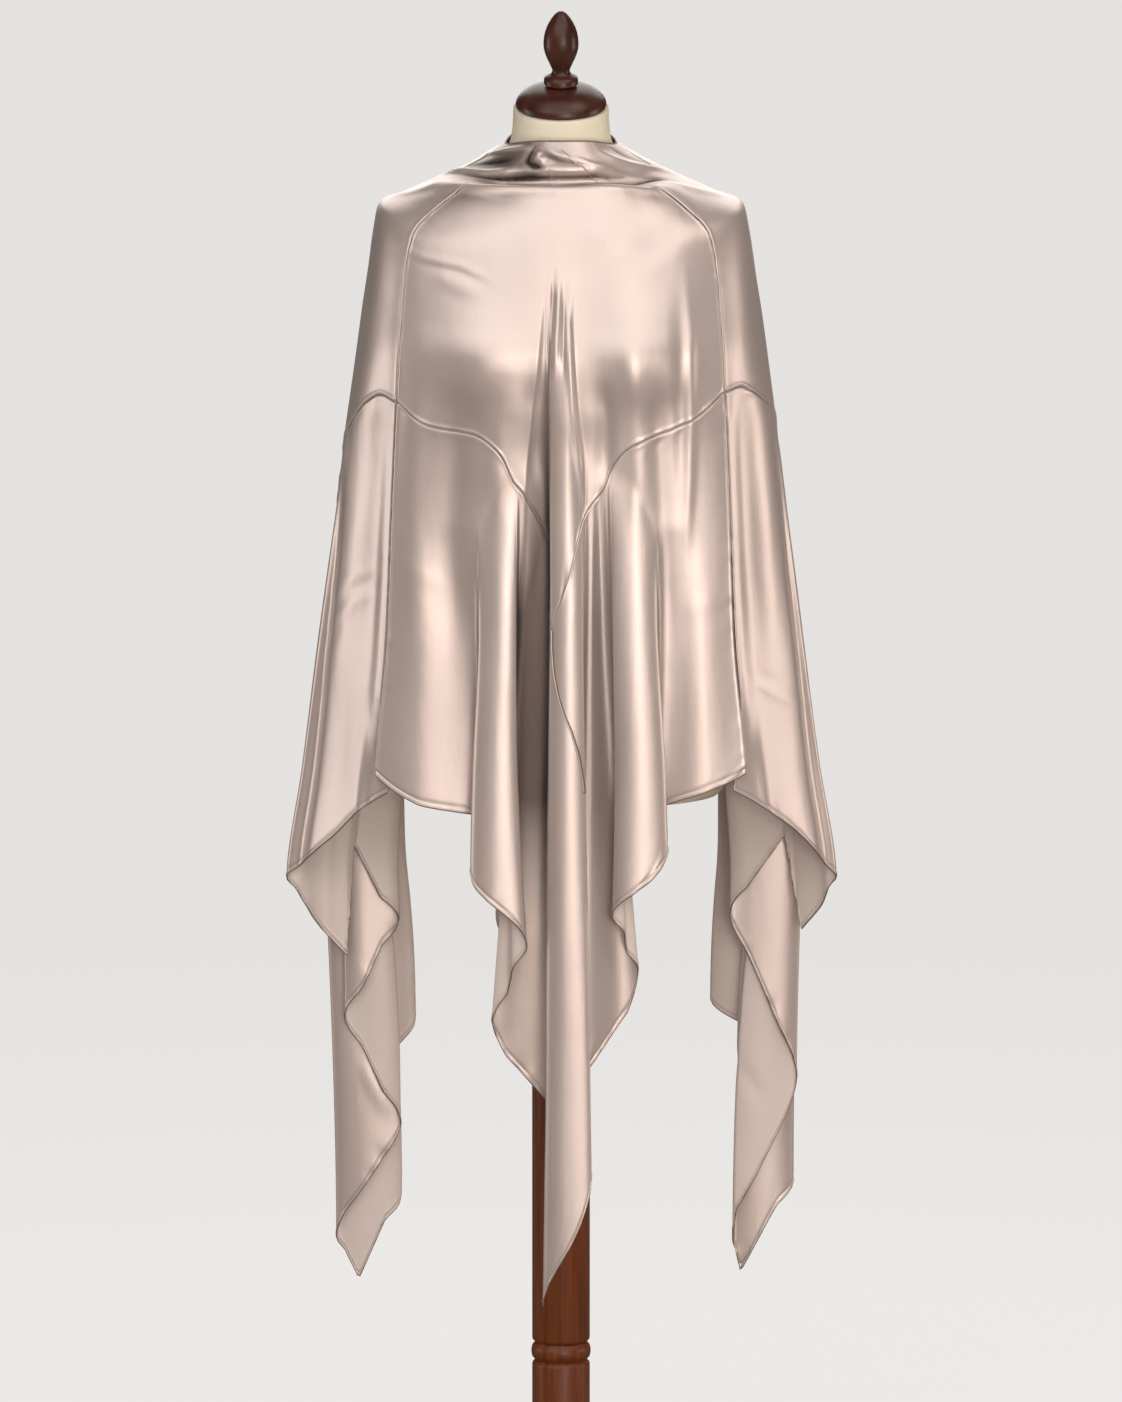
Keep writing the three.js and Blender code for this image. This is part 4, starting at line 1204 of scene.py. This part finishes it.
edges = {}
for name, grid in grids.items():
    lines = []
    if name.endswith("_drop"):
        lines.append((grid[-1, 1:-1], HEM_FACE_RADIUS, SATIN_SLOT))
        # dark cord under the hem roll: painted shade
        lines.append((grid[-1, 1:-1] - HEM_BELOW, HEM_RADIUS, SHADE_CORD_SLOT))
    else:
        # dark cord along the neckline: painted shade
        lines.append((grid[0], NECK_RADIUS, SHADE_CORD_SLOT))
        lines.append((grid[-1] - ZIGZAG_BELOW, ZIGZAG_RADIUS, SATIN_SLOT))
    if name.startswith(("front", "back")):
        for edge in (grid[:-1, 0], grid[:-1, -1]):
            shown = edge[(edge[:, 0] > 0) | (edge[:, 2] < LEFT_SEAM_TOP)]
            lines.append((shown, ARM_RADIUS, SATIN_SLOT))
    if name == "front_drop":
        lap = on_cloth(grid, LAP_LINE)
        lines.append((lap, LAP_RADIUS, SATIN_SLOT))
        # dark cord beside the lap line: painted shadow
        lines.append((lap + LAP_SHADOW, SHADOW_RADIUS, SHADE_CORD_SLOT))
    edges[name] = cords(name + "_edges", lines)
print("edge pieces:", len(edges))

# %% [markdown]
# ## The dress form
#
# The form is a stuffed torso covered in pale linen, with no arms or head. It could be sculpted from a
# sphere, but its girths are what a maker knows, so it is raised ring by ring from a disc, as a potter
# raises a wall: pull up, then widen or narrow.

# %% Raising a piece from a disc
def raised(name, sides, finish, rings):
    """A piece raised ring by ring, left in edit mode with its top ring selected.

    A ring has its half width, its half depth, how far back its middle lies and its height."""
    bpy.ops.object.select_all(action="DESELECT")
    bpy.ops.mesh.primitive_circle_add(vertices=sides, radius=1.0, fill_type="NGON")
    piece = bpy.context.object
    piece.name = piece.data.name = name
    piece.data.materials.append(finish)
    bpy.ops.object.mode_set(mode="EDIT")
    bpy.ops.mesh.select_all(action="SELECT")
    wide, deep, middle, level = 1.0, 1.0, 0.0, 0.0
    for i, ring in enumerate(rings):
        new_wide, new_deep, new_middle, new_level = (size * MM for size in ring)
        move = (0.0, new_middle - middle, new_level - level)
        if i:
            bpy.ops.mesh.extrude_region_move(TRANSFORM_OT_translate={"value": move})
        else:
            bpy.ops.transform.translate(value=move)
        grow = (new_wide / wide, new_deep / deep, 1.0)
        bpy.ops.transform.resize(value=grow, center_override=(0.0, new_middle, new_level))
        wide, deep, middle, level = new_wide, new_deep, new_middle, new_level
    return piece


def tilt(angle, height):
    """Lean what is selected forwards or back about the form's axis at a height."""
    bpy.ops.transform.rotate(value=angle, orient_axis="X", center_override=(0.0, 0.0, height * MM))


def finish_raising(piece, smooth_below):
    face_outwards()
    bpy.ops.object.shade_smooth_by_angle(angle=math.radians(smooth_below))
    print(piece.name, "faces", len(piece.data.polygons))


print("a raised piece starts as a disc of 1 m radius")

# %% Linen torso
TORSO_RINGS = [
    # z, half width, front, back
    (805.3, 172, 102, 100), (814.3, 180, 109, 106), (870, 181, 112, 108), (950, 168, 106, 104),
    (1079, 128, 92, 86), (1200, 140, 108, 96), (1300, 152, 128, 104), (1360, 162, 116, 105),
    (1405, 176, 100, 96), (1438, 186, 80, 80), (1452, 187, 60, 62), (1461, 176, 54, 56),
    (1476, 146, 52, 54), (1493, 107, 52, 54), (1506, 78, 53, 55), (1516, 60, 54, 56),
    (1526, 55.5, 55, 56), (1545, 53, 53, 53.5), (1561, 52.5, 52.5, 52.5),
]
SKIN = 0.8
TORSO_SIDES, SOFT_ANGLE = 72, 50
EXTRA_RINGS = np.arange(830, 1560, 15.0)
NECK_SLOPE = -0.16


def linen_material():
    values = {"Base Color": (0.73, 0.645, 0.49, 1.0), "Roughness": 0.88}
    material, tree, shader = new_finish("pale_linen", values)
    place = add_node(tree, "TexCoord")
    both = add_node(tree, "Math", operation="ADD")
    bump = add_node(tree, "Bump", {"Strength": 0.25, "Distance": 0.0005})
    for i, way in enumerate(("X", "Z")):
        weave = add_node(tree, "TexWave", {"Scale": 420.0, "Distortion": 1.2}, bands_direction=way)
        wire(tree, (place, "Object", weave, "Vector"), (weave, "Fac", both, i))
    wire(tree, (both, "Value", bump, "Height"), (bump, "Normal", shader, "Normal"))
    return material


torso_z = [row[0] for row in TORSO_RINGS]
torso_curves = [curve_through(torso_z, [row[k] for row in TORSO_RINGS]) for k in (1, 2, 3)]
torso_rings = []
for z in sorted({*torso_z, *EXTRA_RINGS.tolist()}):
    half, ahead, behind = (float(curve(z)) - SKIN for curve in torso_curves)
    torso_rings.append((half, (ahead + behind) / 2, (behind - ahead) / 2, z))
torso = raised("torso_form", TORSO_SIDES, linen_material(), torso_rings)
tilt(math.atan(NECK_SLOPE), torso_z[-1])
finish_raising(torso, SOFT_ANGLE)

# %% [markdown]
# ## Turned wood
#
# The cap, the finial, the post and the foot come off a lathe. A Screw modifier could spin a profile,
# but raising a disc along the turner's profile leaves both ends closed. The dark cap and knob are
# polished; the post is red-brown with a straight grain.

# %% Wood
def wood_material(name, light, dark, roughness, grain):
    values = {
        "Roughness": roughness,
        "Coat Weight": 0.06,
        "Specular IOR Level": 0.3,
        "Coat Roughness": 0.18,
    }
    material, tree, shader = new_finish(name, values)
    place, stretch = add_node(tree, "TexCoord"), add_node(tree, "Mapping", {"Scale": grain})
    fibre = add_node(tree, "TexNoise", {"Scale": 1.0, "Detail": 6.0, "Roughness": 0.6})
    tone = tone_ramp(tree, 0.32, 0.68, dark, light)
    wire(
        tree,
        (place, "Object", stretch, "Vector"),
        (stretch, "Vector", fibre, "Vector"),
        (fibre, "Fac", tone, "Fac"),
        (tone, "Color", shader, "Base Color"),
    )
    return material


DARK_TONES = (0.070, 0.021, 0.011), (0.032, 0.010, 0.005)
RED_TONES = (0.185, 0.045, 0.008), (0.085, 0.020, 0.004)
dark_wood = wood_material("dark_polished_wood", *DARK_TONES, 0.34, (60, 60, 14))
red_wood = wood_material("red_brown_wood", *RED_TONES, 0.44, (160, 160, 7))
print("woods:", dark_wood.name, red_wood.name)

# %% Turned pieces
CAP = [
    # radius, height above the neck
    (47, 0), (49, 2), (49, 6), (47.9, 9), (46, 12), (42.7, 15.6), (38, 19), (32.5, 21.4), (26, 23),
    (20, 24), (14, 24.5),
]
FINIAL = [
    (16, 24.8), (18.5, 27), (18.5, 32), (17.4, 34.4), (15, 36), (12.4, 37.2), (10.5, 38.5), (9.6, 40.2),
    (9.5, 42), (10, 44), (11, 46), (13.1, 51), (15.5, 56), (17.3, 61), (18.6, 66), (19, 70), (19, 74),
    (18.5, 79.5), (17.4, 85), (15.5, 90.8), (13, 96), (10, 101), (7, 105), (4.6, 107.2), (2.5, 108.4),
]
POST = [
    # radius, height above the floor
    (31.6, 62.3), (31.6, 168), (31.2, 170), (29.6, 171.6), (28.5, 173), (28.9, 174), (31.6, 177),
    (32.3, 180), (32.6, 183), (32.3, 186), (31.6, 189), (28.9, 192), (28.5, 193), (29.6, 194.6),
    (31.2, 196), (31.6, 198), (31.6, 805),
]
BASE = [
    (196, 0), (198.8, 1.2), (200, 4), (200, 26), (198.4, 30.6), (194, 34), (150, 35.6), (110, 38),
    (84, 42.4), (62, 48), (52, 53), (46, 58), (42, 62),
]
NECK_TOP, CAP_LEAN = 1561.3, math.radians(-9.0)
TURNED_ANGLE = 40
TURNINGS = [
    # node, profile, sides, finish, height of its foot, lean
    ("neck_cap", CAP, 96, dark_wood, NECK_TOP, CAP_LEAN),
    ("finial", FINIAL, 72, dark_wood, NECK_TOP, CAP_LEAN),
    ("post", POST, 72, red_wood, 0.0, 0.0),
    ("base", BASE, 96, red_wood, 0.0, 0.0),
]

turned_pieces = {}
for node, profile, sides, finish, foot, lean in TURNINGS:
    rings = [(radius, radius, 0.0, height + foot) for radius, height in profile]
    turned_pieces[node] = raised(node + "_wood", sides, finish, rings)
    if lean:
        bpy.ops.mesh.select_all(action="SELECT")
        tilt(lean, foot)
    finish_raising(turned_pieces[node], TURNED_ANGLE)

# %% [markdown]
# ## Put the pieces in place
#
# Every piece rides on the root in place of the drawn piece it stands for, which is hidden. How large
# each cloth piece's cut is when laid flat, which is what the sewer buys and cuts, is printed.

# %% Ride and replace
for name, piece in panels.items():
    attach(piece, "root")
    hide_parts(name)
    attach(edges[name], "root")
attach(torso, "root")
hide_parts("torso")
for node, piece in turned_pieces.items():
    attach(piece, "root")
    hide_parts(node)
print("pieces handed over:", len(panels) + len(edges) + 1 + len(turned_pieces))

# %% The cut of each sheet
CUTS = {
    # width and length of the cut in metres, flat area in square metres, what holds it up
    "front_yoke": (0.46, 0.60, 0.121, torso),
    "back_yoke": (0.44, 0.52, 0.112, torso),
    "left_shoulder": (0.40, 0.53, 0.085, torso),
    "right_shoulder": (0.40, 0.53, 0.082, torso),
    "front_drop": (0.80, 0.75, 0.304, panels["front_yoke"]),
    "back_drop": (0.78, 0.64, 0.277, panels["back_yoke"]),
    "left_drop": (0.88, 0.83, 0.376, panels["left_shoulder"]),
    "right_drop": (0.87, 0.83, 0.372, panels["right_shoulder"]),
}
for name, (width, length, area, holder) in CUTS.items():
    cloth = sum(face.area for face in panels[name].data.polygons) / 2
    print(name, "cut", width, "x", length, "m, flat", area, "hung", round(cloth, 3))
